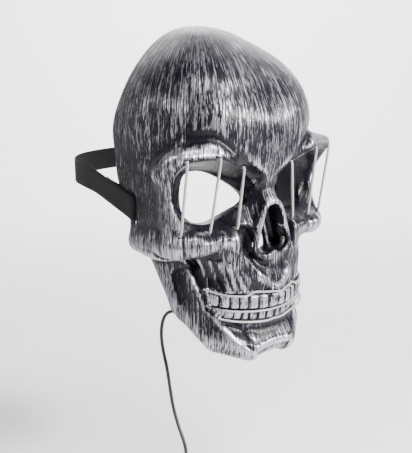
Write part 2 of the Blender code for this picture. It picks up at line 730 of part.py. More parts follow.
def build_lead():
    """The lead, the gland that it leaves the jaw by, its coil with a tie, and its plug."""
    rubber = material("black_rubber", (0.02, 0.02, 0.022), 0.5)
    route = np.array(CORD_ROUTE) + np.array(GLAND_PLACE) * SHARE
    start, towards = route[0], unit(np.array(GLAND_AXIS))
    gland = [start - towards * (CLEARANCE + share * GLAND_LENGTH) for share in (0, 0.5, 0.6, 1.0)]
    narrow, wide = 0.7 * GLAND_DIAMETER / 2, GLAND_DIAMETER / 2
    turned("cord_gland", gland, (narrow, narrow, wide, wide), 12, rubber)

    section = COIL_TURNS_ACROSS * CORD / 2
    middle = COIL_DIAMETER / 2
    bend = COIL_DIAMETER * 0.3
    centre = route[-1] + np.array((bend, 0, -COIL_DROP))
    turns = np.linspace(0, math.pi / 2, 7)[1:]
    arc = [centre + np.array((-bend * math.cos(turn), 0, middle + bend - bend * math.sin(turn))) for turn in turns]
    line = smooth_curve([*route, *arc], 600)
    away = np.hypot(line[:, 0] - centre[0], line[:, 2] - centre[2])
    keep = line[away > middle + section + CORD / 4 + CLEARANCE]
    places = np.linspace(0, len(keep) - 1, CORD_POINTS).astype(int)
    cord = wire_object("cord", keep[places], rubber)
    cord.data.bevel_depth = CORD / 2
    cord.data.bevel_resolution = 2

    profile = np.array([(-1, -0.6), (-0.6, -1), (0.6, -1), (1, -0.6), (1, 0.6), (0.6, 1), (-0.6, 1), (-1, 0.6)])
    rings = []
    for turn in np.arange(COIL_SIDES) * 2 * math.pi / COIL_SIDES:
        out = np.array((math.sin(turn), 0, math.cos(turn)))
        rings.append([centre + out * (middle + a * section) + np.array((0, b * section, 0)) for a, b in profile])
    target = bmesh.new()
    loft(target, rings, closed=True)
    add_object("cord_coil", finish_mesh("cord_coil", target), rubber)

    inner = section + CLEARANCE + TIE_WIDTH / 2 * math.tan(math.pi / COIL_SIDES)
    outer = inner + TIE_THICKNESS
    side = centre - np.array((middle, 0, 0))
    band = np.array(((inner, inner, -1), (outer, outer, -1), (outer, outer, 1), (inner, inner, 1)))
    rings = [[side + np.array((a * x, b * y, TIE_WIDTH / 2 * z)) for x, y, z in band]
             for a, b in ((-1, -1), (1, -1), (1, 1), (-1, 1))]
    target = bmesh.new()
    loft(target, rings, closed=True)
    add_object("cord_tie", finish_mesh("cord_tie", target), rubber)

    thin, full, tip = 0.6 * PLUG_DIAMETER / 2, PLUG_DIAMETER / 2, 0.75 * PLUG_DIAMETER / 2
    drop = math.sqrt((middle + section) ** 2 - (middle - thin) ** 2) + CLEARANCE
    top = centre + np.array((middle, 0, -drop))
    plug = [top + np.array((0, 0, -share * PLUG_LENGTH)) for share in (0, 0.35, 0.40, 0.85, 0.86, 1.0)]
    turned("cord_plug", plug, (thin, thin, full, full, tip, tip), 12, rubber)


def main():
    for old in list(bpy.data.objects):
        bpy.data.objects.remove(old, do_unlink=True)
    wire_finish = material("wire_plastic", (0.55, 0.57, 0.56), 0.4)
    eye_holes, mouth_holes = [], []
    for name, upper, lower in EYE_WIRES:
        ends, route = eye_wire_points(upper, lower)
        eye_holes += ends
        wire_object("eye_wire_left_" + name, route, wire_finish)
        wire_object("eye_wire_right_" + name, mirrored(route), wire_finish)
    for name, middle, corner, half_width in MOUTH_WIRES:
        on_teeth, outward, run = mouth_wire_points(middle, corner, half_width)
        tail = WALL + WIRE_TAIL
        first = on_teeth[0] - outward[0] * tail
        last = on_teeth[-1] - outward[-1] * tail
        mouth_holes += [(on_teeth[0], outward[0]), (on_teeth[-1], outward[-1])]
        route = [first, on_teeth[0], *run, on_teeth[-1], last]
        wire_object("mouth_wire_" + name, smooth_curve(route, 28), wire_finish)
    build_shell(eye_holes, mouth_holes)
    build_strap()
    build_lead()


main()
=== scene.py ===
"""Skull mask for theatre and carnival: its looks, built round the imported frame."""
import math

import bmesh
import bpy
import numpy as np
from bpy.props import FloatProperty, FloatVectorProperty, PointerProperty
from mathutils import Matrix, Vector


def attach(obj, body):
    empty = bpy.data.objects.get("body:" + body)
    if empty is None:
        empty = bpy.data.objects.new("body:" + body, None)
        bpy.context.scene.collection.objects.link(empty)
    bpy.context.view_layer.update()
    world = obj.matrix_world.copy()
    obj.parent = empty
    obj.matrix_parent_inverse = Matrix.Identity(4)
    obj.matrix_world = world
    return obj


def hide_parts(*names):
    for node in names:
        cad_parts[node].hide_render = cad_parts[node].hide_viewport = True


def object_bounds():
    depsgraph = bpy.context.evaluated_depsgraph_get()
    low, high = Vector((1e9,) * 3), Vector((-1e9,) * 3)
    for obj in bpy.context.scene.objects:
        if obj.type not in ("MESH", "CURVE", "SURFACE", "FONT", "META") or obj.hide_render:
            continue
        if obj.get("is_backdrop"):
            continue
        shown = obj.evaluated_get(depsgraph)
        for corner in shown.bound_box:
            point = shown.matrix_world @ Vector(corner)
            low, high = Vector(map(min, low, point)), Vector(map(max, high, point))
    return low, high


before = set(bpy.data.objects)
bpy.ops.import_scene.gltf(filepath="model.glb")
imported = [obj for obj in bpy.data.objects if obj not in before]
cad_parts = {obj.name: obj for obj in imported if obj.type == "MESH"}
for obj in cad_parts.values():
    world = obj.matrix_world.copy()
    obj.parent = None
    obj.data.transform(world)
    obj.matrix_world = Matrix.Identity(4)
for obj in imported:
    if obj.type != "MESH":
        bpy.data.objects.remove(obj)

bl_info = {
    "name": "Skull mask",
    "version": (1, 0, 0),
    "blender": (4, 5, 0),
    "location": "View3D > Sidebar > Mask",
    "description": "Builds a moulded skull mask with wires, strap and lead round its frame",
    "category": "Object",
}

# Sizes of the skull, in metres
FACE_HEIGHT = 0.100      # root of the nose to the foot of the lower teeth
FACE_WIDTH = 0.172       # across the cheekbones
FACE_DEPTH = 0.113       # front teeth to the rim at the temples
WALL = 0.0022
CLEARANCE = 0.0003
WIRE = 0.0023
WIRE_HOLE = 0.0042
EYE_HOLE_PAST = 0.001    # how far an eye wire's hole is cut past the wall's thickness
MOUTH_WIRE_SHARE = 0.75  # thickness of a mouth wire against an eye wire
WIRE_TAIL = 0.0030
WIRE_BEND = 0.0018
WIRE_LIFT = 0.0011
STRAP_WIDTH = 0.020
STRAP_THICKNESS = 0.0013
STRAP_REACH = 0.142
STRAP_FOLD = 0.022
STRAP_RISE = 0.28
SLOT_WIDTH = 0.0036
SLOT_LENGTH = 0.0255
TOP_SLOT_WIDTH = 0.0030
TOP_SLOT_LENGTH = 0.024
THROUGH = 0.006
HOLE_SIDES = 20
FACET = 0.0009

DRAWN_WIDTH = 1.72
DRAWN_DEPTH = 1.13
SHARE = np.array((FACE_WIDTH / DRAWN_WIDTH, FACE_DEPTH / DRAWN_DEPTH, FACE_HEIGHT))

# Forms that are joined in turn: name, kind, blend, and the centre and radii of a lump, the centre,
# half sizes and corner of a block, or the points and radii of a strand. A minus sign hollows out.
CORE = (
    ("cranium", "lump", 0.01, ((0, 0.84, 0.34), (0.79, 0.97, 0.92))),
    ("forehead", "lump", 0.14, ((0.30, 0.52, 0.50), (0.45, 0.61, 0.54))),
    ("temple", "block", 0.10, ((0, 0.66, -0.14), (0.80, 0.58, 0.42), 0.26)),
    ("upper jaw", "block", 0.12, ((0, 0.44, -0.66), (0.48, 0.54, 0.50), 0.24)),
)

FEATURES = (
    ("temple hollow", "-lump", 0.16, ((1.04, 0.26, 0.50), (0.28, 0.30, 0.24))),
    ("jaw side", "strand", 0.10, (
        (0.54, 0.62, -0.50, 0.12), (0.48, 0.42, -0.96, 0.12),
        (0.37, 0.12, -1.21, 0.13), (0.18, -0.05, -1.27, 0.12))),
    ("chin", "lump", 0.06, ((0, 0.04, -1.21), (0.27, 0.21, 0.17))),
    ("chin bar", "strand", 0.05, ((0, -0.07, -1.275, 0.10), (0.16, -0.06, -1.275, 0.09))),
    ("cheek arch", "strand", 0.08, (
        (0.40, 0.04, -0.375, 0.085), (0.60, 0.025, -0.38, 0.09), (0.73, 0.14, -0.40, 0.105),
        (0.73, 0.50, -0.435, 0.11), (0.69, 0.90, -0.45, 0.105))),
    ("brow", "strand", 0.12, (
        (0.05, 0.07, 0.08, 0.07), (0.22, -0.01, 0.17, 0.09), (0.50, 0.00, 0.29, 0.09),
        (0.75, 0.08, 0.29, 0.09), (0.81, 0.26, 0.16, 0.075))),
    ("outer eye rim", "strand", 0.08, (
        (0.78, 0.15, 0.24, 0.055), (0.755, 0.25, -0.04, 0.04), (0.75, 0.18, -0.36, 0.07))),
    ("nose", "strand", 0.08, (
        (0, 0.09, 0.04, 0.08), (0, -0.02, -0.10, 0.11), (0, 0.04, -0.40, 0.20), (0, 0.02, -0.80, 0.19))),
)

HOLLOWS = (
    ("beside the nose", "-strand", 0.04, (
        (0.245, -0.06, -0.33, 0.055), (0.215, -0.10, -0.46, 0.06), (0.14, -0.17, -0.58, 0.05))),
    ("below the cheek", "-lump", 0.08, ((0.64, -0.08, -0.70), (0.22, 0.30, 0.13))),
    ("above the chin", "-lump", 0.06, ((0, -0.27, -1.13), (0.30, 0.14, 0.08))),
)

RIDGES = (
    ("cheek to gum", "strand", 0.04, (
        (0.42, -0.03, -0.36, 0.05), (0.32, -0.02, -0.42, 0.035), (0.26, -0.035, -0.50, 0.03),
        (0.235, -0.075, -0.56, 0.028), (0.19, -0.11, -0.62, 0.028), (0.13, -0.155, -0.70, 0.028),
        (0.06, -0.175, -0.77, 0.028), (0, -0.185, -0.80, 0.03))),
    ("septum", "strand", 0.04, (
        (0, 0.06, -0.12, 0.03), (0, -0.03, -0.34, 0.024), (0, -0.08, -0.52, 0.03))),
)

# Lower jaw seen from the front: flat sides as direction in degrees and distance from the nose's root
JAW_SIDES = ((351, 0.685), (323, 1.085), (307, 1.272), (270, 1.375))
JAW_CORNER = 0.06
JAW_TOP = -0.60
JAW_FRONT = 0.02
JAW_SPREAD = 0.85
JAW_BLEND = 0.08

# Tooth arch seen from above: its front, how far back it is at the corners, its half width
ARCH_FRONT = -0.18
ARCH_DEPTH = 0.33
ARCH_CORNER = 0.50
ARCH_POWER = 2.3
ARCH_HALF_WIDTH = 0.52
ARCH_MIDDLE = -0.88
ARCH_HALF_HEIGHT = 0.24
ARCH_BACK = 0.60
ARCH_LEAN = 0.75
ARCH_BLEND = 0.05
ARCH_ROUNDING = 0.08
ARCH_END = 0.60
LOWER_TEETH = -0.93
LOWER_TEETH_STEP = 0.05
LOWER_SET_BACK = 0.045

# Eye socket: flat sides that taper inwards, as direction in degrees and distance from its middle
SOCKET_MIDDLE = (0.47, -0.04)
SOCKET_SIDES = ((93, 0.28), (124, 0.28), (2, 0.36), (272, 0.25), (213, 0.27), (325, 0.37))
SOCKET_CORNER = 0.14
SOCKET_TAPER = 0.42
SOCKET_FACE = 0.02
SOCKET_FLOOR = 0.11
SOCKET_FLOOR_SLOPE = 0.17
SOCKET_EDGE = 0.04
SOCKET_FLOOR_EDGE = 0.06

# How much the fold in the middle of the face is rounded: main form, ridges and relief
MIDDLE_SOFTENING = 0.0004
RIDGE_SOFTENING = 0.0001
RELIEF_SOFTENING = 0.00004

# Nose opening: a pear between two circles, with a raised rim
NOSE_TOP = (-0.20, 0.092)
NOSE_FOOT = (0.08, -0.43, 0.09)
NOSE_RIM_PLACE = 0.013
NOSE_RIM_Y = -0.125
NOSE_RIM_RADIUS = 0.021
NOSE_FLOOR = 0.02
INNER_SOFTENING = 0.12

# Eye openings and nostrils: x and z of the points of a smooth outline
EYE_OUTLINE = (
    (0.665, -0.05), (0.63, -0.20), (0.52, -0.25), (0.38, -0.232), (0.20, -0.145), (0.155, -0.07),
    (0.215, 0.015), (0.40, 0.125), (0.55, 0.163), (0.635, 0.13))
EYE_CUT = (-0.02, 0.50)
NOSTRIL_MIDDLE = (0.058, -0.455)
NOSTRIL_RADII = (0.030, 0.036)
NOSTRIL_CUT = (-0.07, 0.40)

# Rim: how far back the shell ends, height against depth
RIM = (
    (-1.50, -0.06), (-1.40, 0.02), (-1.37, 0.08), (-1.31, 0.18), (-1.23, 0.25), (-1.15, 0.36),
    (-1.09, 0.43), (-0.91, 0.48), (-0.75, 0.56), (-0.60, 0.64), (-0.54, 0.69), (-0.46, 0.70),
    (-0.36, 0.69), (-0.24, 0.71), (-0.04, 0.82), (0.09, 0.87), (0.22, 0.91), (0.38, 0.94),
    (0.51, 0.945), (0.78, 0.88), (1.00, 0.86), (1.20, 0.87), (1.40, 0.88))

# Low relief on the skull: name, height, reach of its flank, and the points of a line. Minus heights
# are grooves.
RELIEF = (
    ("valley over the brow", -0.020, 0.075, (
        (0.80, 0.07, 0.37), (0.65, 0.09, 0.42), (0.53, 0.00, 0.44), (0.43, -0.07, 0.36),
        (0.33, -0.10, 0.28), (0.20, -0.07, 0.19), (0.10, -0.06, 0.12))),
    ("bossed forehead", 0.016, 0.26, ((0.0, -0.12, 0.52), (0.16, -0.10, 0.56))),
    ("lip over the socket", 0.012, 0.030, (
        (0.733, -0.02, 0.30), (0.649, -0.044, 0.31), (0.56, -0.075, 0.305), (0.465, -0.09, 0.28),
        (0.325, -0.07, 0.21), (0.19, -0.03, 0.115), (0.10, -0.04, 0.03))),
    ("first root", 0.013, 0.030, ((0.50, 0.19, -0.56), (0.483, 0.157, -0.62), (0.470, 0.12, -0.75))),
    ("second root", 0.015, 0.030, ((0.475, 0.08, -0.55), (0.455, 0.07, -0.63), (0.43, 0.03, -0.76))),
    ("third root", 0.015, 0.030, ((0.435, 0.00, -0.56), (0.415, -0.01, -0.65), (0.385, -0.04, -0.77))),
    ("fourth root", 0.014, 0.028, ((0.39, -0.05, -0.58), (0.37, -0.06, -0.67), (0.335, -0.08, -0.77))),
    ("fifth root", 0.012, 0.026, ((0.33, -0.06, -0.62), (0.305, -0.09, -0.70), (0.28, -0.11, -0.77))),
    ("edge of the plate", 0.014, 0.022, (
        (0.56, 0.32, -0.53), (0.542, 0.274, -0.641), (0.535, 0.232, -0.707),
        (0.532, 0.194, -0.782), (0.52, 0.162, -0.835), (0.508, 0.13, -0.881),
        (0.481, 0.11, -0.948), (0.460, 0.05, -1.00))),
    ("ridge to the chin", 0.020, 0.038, (
        (0.453, 0.033, -1.003), (0.407, 0.00, -1.086), (0.355, -0.051, -1.152),
        (0.283, -0.103, -1.214), (0.222, -0.152, -1.262), (0.18, -0.173, -1.275))),
    ("foot of the chin", 0.016, 0.045, ((0.19, -0.173, -1.272), (0.0, -0.175, -1.252))),
    ("hook in the plate", -0.013, 0.030, (
        (0.549, 0.343, -0.664), (0.57, 0.394, -0.671), (0.588, 0.405, -0.713),
        (0.585, 0.39, -0.778), (0.58, 0.358, -0.873), (0.579, 0.334, -0.935))),
    ("gum", 0.009, 0.018, (
        (0.506, 0.166, -0.792), (0.453, 0.044, -0.79), (0.382, -0.054, -0.79),
        (0.26, -0.118, -0.80), (0.141, -0.166, -0.805), (0.0, -0.20, -0.805))),
)

# Rows of teeth: height of the row's middle and its rise towards the corner, half its height and how
# much less it is at the corner, and the pitch
TEETH = ((-0.884, 0.030, 0.064, 0.016, 0.090), (-1.008, 0.062, 0.042, 0.004, 0.082))
TOOTH_RISE = 0.026
TOOTH_BACK = 0.45
TOOTH_ROW_END = (0.515, 0.475)

# Front edge of the jaw's side plate: height against depth
PLATE_EDGE = (
    (-1.30, -0.18), (-1.268, -0.152), (-1.214, -0.103), (-1.152, -0.051), (-1.086, 0.00), (-1.003, 0.045),
    (-0.948, 0.11), (-0.881, 0.13), (-0.835, 0.162), (-0.782, 0.194), (-0.707, 0.232), (-0.641, 0.274),
    (-0.53, 0.33), (-0.45, 0.38))
PLATE_RISE = 0.020
PLATE_RUN = 0.16
PLATE_INNER = (0.30, 0.36)

# Space that the shell's body is worked out in
BODY_LOW = np.array((-1.00, -0.35, -1.52))
BODY_HIGH = np.array((1.00, 1.25, 1.36))
BODY_END = 1.08
HOLLOW_END = 1.15

# Places on the shell
SEAT_HEIGHT = 0.40
SLOT_PLACE = (0.63, -0.17)
TOP_SLOT_PLACE = 0.787

# Eye wires: name, and x and z of the upper and of the lower hole
EYE_WIRES = (
    ("inner", (0.262, 0.190), (0.307, -0.285)),
    ("middle", (0.522, 0.281), (0.546, -0.300)),
    ("outer", (0.771, 0.272), (0.766, -0.300)),
)

# Mouth wires: name, height in the middle, height at the corner, half width
MOUTH_WIRES = (
    ("upper", -0.825, -0.790, 0.485),
    ("middle", -0.945, -0.905, 0.475),
    ("lower", -1.045, -0.985, 0.445),
)

# Strap behind the slots: share of the reach, x in shares, z in shares
STRAP_RUN = (
    (0.40, 0.810, -0.02), (0.55, 0.795, 0.00), (0.70, 0.745, 0.01), (0.84, 0.60, 0.02),
    (0.95, 0.34, 0.02), (1.00, 0.0, 0.02))


def length(*parts):
    return np.sqrt(sum(part * part for part in parts))


def join(a, b, blend):
    """Union of two distances with a rounded joint."""
    near = np.maximum(blend - np.abs(a - b), 0) / blend
    return np.minimum(a, b) - near * near * blend * 0.25


def meet(a, b, blend):
    return -join(-a, -b, blend)


def lump(x, y, z, centre, radii):
    px = (x - centre[0]) / radii[0]
    py = (y - centre[1]) / radii[1]
    pz = (z - centre[2]) / radii[2]
    near = length(px, py, pz)
    slope = length(px / radii[0], py / radii[1], pz / radii[2])
    return near * (near - 1.0) / np.maximum(slope, 1e-9)


def block(x, y, z, centre, half, corner):
    qx = np.abs(x - centre[0]) - half[0] + corner
    qy = np.abs(y - centre[1]) - half[1] + corner
    qz = np.abs(z - centre[2]) - half[2] + corner
    outside = length(np.maximum(qx, 0), np.maximum(qy, 0), np.maximum(qz, 0))
    inside = np.minimum(np.maximum(qx, np.maximum(qy, qz)), 0)
    return outside + inside - corner


def rod(x, y, z, start, end):
    """Distance to a rod between two points whose fourth number is the radius there."""
    ax, ay, az, first = start
    bx, by, bz, last = end
    dx, dy, dz = bx - ax, by - ay, bz - az
    along = ((x - ax) * dx + (y - ay) * dy + (z - az) * dz) / (dx * dx + dy * dy + dz * dz)
    along = np.clip(along, 0, 1)
    return length(x - ax - along * dx, y - ay - along * dy, z - az - along * dz) - (
        first + (last - first) * along)


def strand(x, y, z, *points):
    distance = rod(x, y, z, points[0], points[1])
    for start, end in zip(points[1:-1], points[2:]):
        distance = np.minimum(distance, rod(x, y, z, start, end))
    return distance


KINDS = {"lump": lump, "block": block, "strand": strand}


def add_forms(distance, forms, x, y, z):
    for name, kind, blend, sizes in forms:
        form = KINDS[kind.lstrip("-")](x, y, z, *sizes)
        if distance is None:
            distance = form
        elif kind.startswith("-"):
            distance = meet(distance, -form, blend)
        else:
            distance = join(distance, form, blend)
    return distance


def flat_sided(across, up, sides, corner):
    """Distance to a shape in a plane whose straight sides meet in round corners."""
    distance = None
    for degrees, reach in sides:
        turn = math.radians(degrees)
        side = across * math.cos(turn) + up * math.sin(turn) - reach
        distance = side if distance is None else meet(distance, side, corner)
    return distance


def tooth_arch(x, y, z):
    lower = np.clip((LOWER_TEETH - z) / LOWER_TEETH_STEP, 0, 1)
    curve = ARCH_DEPTH * (np.minimum(x, ARCH_END) / ARCH_CORNER) ** ARCH_POWER
    front = ARCH_FRONT + LOWER_SET_BACK * lower + curve
    face = (front - y) * ARCH_LEAN
    band = meet(face, np.abs(z - ARCH_MIDDLE) - ARCH_HALF_HEIGHT, ARCH_ROUNDING)
    band = meet(band, x - ARCH_HALF_WIDTH, ARCH_ROUNDING)
    return np.maximum(band, y - ARCH_BACK)


def lower_jaw(x, y, z):
    outline = flat_sided(x, z, JAW_SIDES, JAW_CORNER)
    front = (JAW_FRONT + JAW_SPREAD * x - y) / math.hypot(1, JAW_SPREAD)
    return meet(meet(outline, front, JAW_BLEND), z - JAW_TOP, JAW_BLEND)


def eye_socket(x, y, z):
    side = flat_sided(x - SOCKET_MIDDLE[0], z - SOCKET_MIDDLE[1], SOCKET_SIDES, SOCKET_CORNER)
    cone = (side + SOCKET_TAPER * (y - SOCKET_FACE)) / math.hypot(1, SOCKET_TAPER)
    floor = y - SOCKET_FLOOR - SOCKET_FLOOR_SLOPE * x
    return meet(cone, floor, SOCKET_FLOOR_EDGE)


def nose_opening(x, z):
    top = (0, 0, NOSE_TOP[0], NOSE_TOP[1])
    foot = (NOSE_FOOT[0], 0, NOSE_FOOT[1], NOSE_FOOT[2])
    return rod(x, 0 * x, z, top, foot)


def skull_form(x, y, z, soften):
    """Distance to the skull's main form, in shares, with its hollows rounded by soften."""
    side = np.sqrt(x * x + MIDDLE_SOFTENING)
    distance = add_forms(None, CORE, side, y, z)
    distance = join(distance, lower_jaw(side, y, z), JAW_BLEND)
    distance = add_forms(distance, FEATURES, side, y, z)
    distance = join(distance, tooth_arch(side, y, z), ARCH_BLEND)
    distance = meet(distance, -eye_socket(side, y, z), SOCKET_EDGE + soften)
    distance = add_forms(distance, HOLLOWS, side, y, z)
    pear = nose_opening(side, z)
    rim = length(pear - NOSE_RIM_PLACE, y - NOSE_RIM_Y) - NOSE_RIM_RADIUS
    distance = join(distance, rim, 0.04)
    hollow = meet(pear + NOSE_RIM_PLACE, y - NOSE_FLOOR, 0.04 + soften)
    return meet(distance, -hollow, 0.02 + soften)


def ramp(start, end, value):
    """0 before the start, 1 after the end and smooth between them."""
    share = np.clip((value - start) / (end - start), 0, 1)
    return share * share * (3 - 2 * share)


def along_arch():
    """Distance along the tooth arch from its middle, for a table of x."""
    x = np.linspace(0, ARCH_END, 200)
    y = ARCH_FRONT + ARCH_DEPTH * (x / ARCH_CORNER) ** ARCH_POWER
    return x, np.concatenate(([0], np.cumsum(np.hypot(np.diff(x), np.diff(y)))))


ARCH_RUN = along_arch()


def tooth_rise(x, y, z):
    run = np.interp(x, *ARCH_RUN)
    out = np.minimum(x / ARCH_CORNER, 1.1) ** 2
    rise = 0 * x
    for middle, lift, half, less, pitch in TEETH:
        across = np.abs(run / pitch - np.floor(run / pitch) - 0.5) * 2
        up = np.abs(z - middle - lift * out) / (half - less * out)
        crown = np.clip(1 - across ** 6, 0, 1) * np.clip(1 - up ** 8, 0, 1)
        rise = rise + crown * (0.75 + 0.25 * (1 - across ** 2))
    return rise * ramp(TOOTH_BACK, TOOTH_BACK - 0.1, y) * ramp(*TOOTH_ROW_END, x)


def plate_rise(x, y, z):
    edge = np.interp(z, *np.array(PLATE_EDGE).T)
    behind = y - edge
    step = ramp(-0.010, 0.010, behind) * ramp(PLATE_RUN * 2.2, 0.03, behind)
    ahead = ramp(-0.10, -0.02, behind) * (1 - ramp(-0.02, 0.004, behind))
    near = ramp(*PLATE_INNER, x + 0.4 * np.clip(-0.95 - z, 0, 1)) * ramp(-0.46, -0.53, z)
    return (step - 0.6 * ahead) * near * PLATE_RISE


def carved(x, y, z):
    """How far the fine relief stands out of the main form."""
    side = np.sqrt(x * x + RELIEF_SOFTENING)
    rise = tooth_rise(side, y, z) * TOOTH_RISE + plate_rise(side, y, z)
    for name, height, flank, points in RELIEF:
        away = strand(side, y, z, *[(*point, 0.0) for point in points])
        rise = rise + height * ramp(flank, 0, away)
    return rise


def outer_face(points):
    """Distance in metres to the outer face, for an array of points from the nose's root."""
    x, y, z = (points / SHARE).T
    distance = skull_form(x, y, z, 0.0)
    distance = add_forms(distance, RIDGES, np.sqrt(x * x + RIDGE_SOFTENING), y, z)
    return (distance - carved(x, y, z)) * FACE_HEIGHT


def inner_face(points):
    x, y, z = (points / SHARE).T
    return skull_form(x, y, z, INNER_SOFTENING) * FACE_HEIGHT + WALL


def slope_of(face, points, here):
    step = 0.0002
    parts = []
    for axis in range(3):
        moved = points.copy()
        moved[:, axis] += step
        parts.append((face(moved) - here) / step)
    return np.stack(parts, axis=1)


def settle(face, points, limit, steps=3):
    """Move points along the slope until they lie on the face."""
    for step in range(steps):
        here = face(points)
        slope = slope_of(face, points, here)
        move = here[:, None] * slope / np.maximum((slope * slope).sum(axis=1), 0.05)[:, None]
        points = points - np.clip(move, -limit, limit)
    return points


def smooth_curve(points, samples, closed=False):
    """Points evenly spread in number along a smooth curve through the given points."""
    points = np.array(points, float)
    count = len(points) if closed else len(points) - 1
    places = np.linspace(0, count, samples, endpoint=not closed)
    index = np.minimum(places.astype(int), count - 1)
    t = (places - index)[:, None]
    if closed:
        before, start, end, after = (points[(index + k) % count] for k in (-1, 0, 1, 2))
    else:
        ends = np.vstack((2 * points[0] - points[1], points, 2 * points[-1] - points[-2]))
        before, start, end, after = (ends[index + k] for k in (0, 1, 2, 3))
    return 0.5 * (2 * start + (end - before) * t + (2 * before - 5 * start + 4 * end - after) * t ** 2
                  + (3 * start - before - 3 * end + after) * t ** 3)


RIM_CURVE = smooth_curve(RIM, 400)


def rim_depth(z):
    """How far back the rim is at a height, both in metres from the nose's root."""
    return np.interp(z / SHARE[2], RIM_CURVE[:, 0], RIM_CURVE[:, 1]) * SHARE[1]


def first_hit(face, place, count, far, near, steps=240):
    """For each of a number of tracks, the place where it first meets the face from its far end."""
    outside = np.full(count, far)
    inside = outside.copy()
    found = np.zeros(count, bool)
    for reach in np.linspace(far, near, steps):
        now = face(place(np.full(count, reach))) < 0
        fresh = now & ~found
        inside[fresh] = reach
        found |= now
        outside[~found] = reach
    for step in range(24):
        middle = (outside + inside) / 2
        now = face(place(middle)) < 0
        inside = np.where(now, middle, inside)
        outside = np.where(now, outside, middle)
    return place((outside + inside) / 2)


def seen_along(face, starts, axis, far, near):
    """Outermost points of a face on lines through the starts along one axis."""
    starts = np.atleast_2d(starts).astype(float)

    def place(reach):
        points = starts.copy()
        points[:, axis] = reach
        return points
    return first_hit(face, place, len(starts), far, near)


def unit(vectors):
    return vectors / np.linalg.norm(vectors, axis=-1, keepdims=True)


def front_of(face, x, z):
    """Frontmost points of a face at x and z given in metres."""
    return seen_along(face, np.stack((x, 0 * x, z), axis=1), 1, -0.05, 0.09)


def mirrored(points):
    return np.asarray(points, float) * np.array((-1, 1, 1))


def plane_ring(outline, y):
    """Points of an outline in x and z, in shares, at one depth."""
    return np.array([(x, y, z) for x, z in outline]) * SHARE


def oval(middle, radii, count):
    turns = np.arange(count) * 2 * math.pi / count
    return np.stack((middle[0] + radii[0] * np.cos(turns), middle[1] + radii[1] * np.sin(turns)), axis=1)


def circle_at(centre, axis, radius, sides):
    """Ring of points round an axis."""
    axis = Vector(axis).normalized()
    across = axis.orthogonal().normalized()
    other = axis.cross(across)
    turns = np.arange(sides) * 2 * math.pi / sides
    return [np.array(centre) + radius * (math.cos(turn) * np.array(across) + math.sin(turn) * np.array(other))
            for turn in turns]


def box_rings(centre, size):
    """Two rings of a box, one at each end of its length along z."""
    x, y, z = np.array(size) / 2
    ring = np.array(((x, y, 0), (-x, y, 0), (-x, -y, 0), (x, -y, 0))) + np.array(centre)
    return [ring + np.array((0, 0, -z)), ring + np.array((0, 0, z))]


def eye_wire_points(upper, lower):
    """Ends in the wall of one eye wire, and the points where it bends, on the wearer's left."""
    x, z = (np.array((upper, lower)) * SHARE[[0, 2]]).T
    ends = list(front_of(outer_face, x, z))
    back = np.array((0, WALL + WIRE_TAIL, 0))
    off = np.array((0, -WIRE_BEND, 0))
    first, last = ends
    down = unit(last - first)
    bend = WIRE * 1.1
    route = [first + back, first + off * 0.2, first + off + down * bend,
             (first + last) / 2 + off, last + off - down * bend, last + off * 0.2, last + back]
    return ends, smooth_curve(route, 13)


def mouth_wire_points(middle, corner, half_width):
    """Points of a mouth wire along the teeth and the directions of its ends into the wall."""
    x = np.linspace(-1, 1, 15) * half_width
    z = middle + (corner - middle) * np.abs(x / half_width) ** 2.2
    on_teeth = front_of(outer_face, x * SHARE[0], z * SHARE[2])
    outward = unit(slope_of(outer_face, on_teeth, outer_face(on_teeth)))
    run = on_teeth + outward * (WIRE / 2 + WIRE_LIFT)
    return on_teeth, outward, run


SEAT = seen_along(inner_face, (0, 0, SEAT_HEIGHT * SHARE[2]), 1, -0.05, 0.09)[0]

# Lead: where its gland ends, in shares, and its route from there to above the coil, in metres
CORD = 0.0030
COIL_TURNS = 9
COIL_DIAMETER = 0.0345
COIL_DROP = 0.0335
GLAND_PLACE = (-0.465, 0.440, -1.085)
CORD_ROUTE = (
    (0, 0, 0), (-0.0020, 0.0080, 0.0007), (-0.0060, 0.0135, -0.0015), (-0.0093, 0.0155, -0.0075),
    (-0.0113, 0.0155, -0.0175), (-0.0115, 0.0140, -0.0305), (-0.0115, 0.0080, -0.0485),
    (-0.0115, 0.0040, -0.0655), (-0.0115, 0.0000, -0.0805), (-0.0115, -0.0070, -0.0955),
    (-0.0115, -0.0140, -0.1065), (-0.0115, -0.0170, -0.1145))

# Camera: turn, rise and roll-free place beside its axis, from the nose's root
CAMERA_TURN = math.radians(40.0)
CAMERA_RISE = math.radians(13.42)
CAMERA_FAR = 0.5987
CAMERA_ASIDE = -0.0447
CAMERA_UP = -0.03153
CAMERA_LENS = 59.6

# Brushed silver: each streak noise's stretch down the skull, scale, detail, roughness and weight, and
# how much the paint follows the relief
STREAKS = ((0.036, 860.0, 2.0, 0.6, 1.5), (0.060, 1900.0, 2.0, 0.6, 2.0), (0.10, 3400.0, 1.0, 0.5, 0.8))
PATCH_SCALE = 42.0
PATCH_WEIGHT = 0.7
STREAK_WEIGHT = 2.1
PAINT_FOLLOWS = (("raised", 0.75), ("edge", 0.6), ("deep", -1.3))
PAINT_START = -5.34
SKULL_RADIUS = 0.085
MEAN_CURVE = 25          # what the curvature of the plain skull comes to, for each metre of reach
PAINT_BLEED = 0.0006     # how far the paint reaches over an edge

# Swept floor, in metres: its near and far ends on the flat, and the bend and height of its back
FLOOR_DROP = 0.004
FLOOR_NEAR = -2.0
FLOOR_FAR = 0.6
FLOOR_HALF_WIDTH = 3.0
SWEEP_START = 1.2
SWEEP_BEND = 0.8
SWEEP_TOP = 3.0

# Fineness of the skull's nets, in metres
OUTER_CELL = 0.0014
INNER_CELL = 0.0024


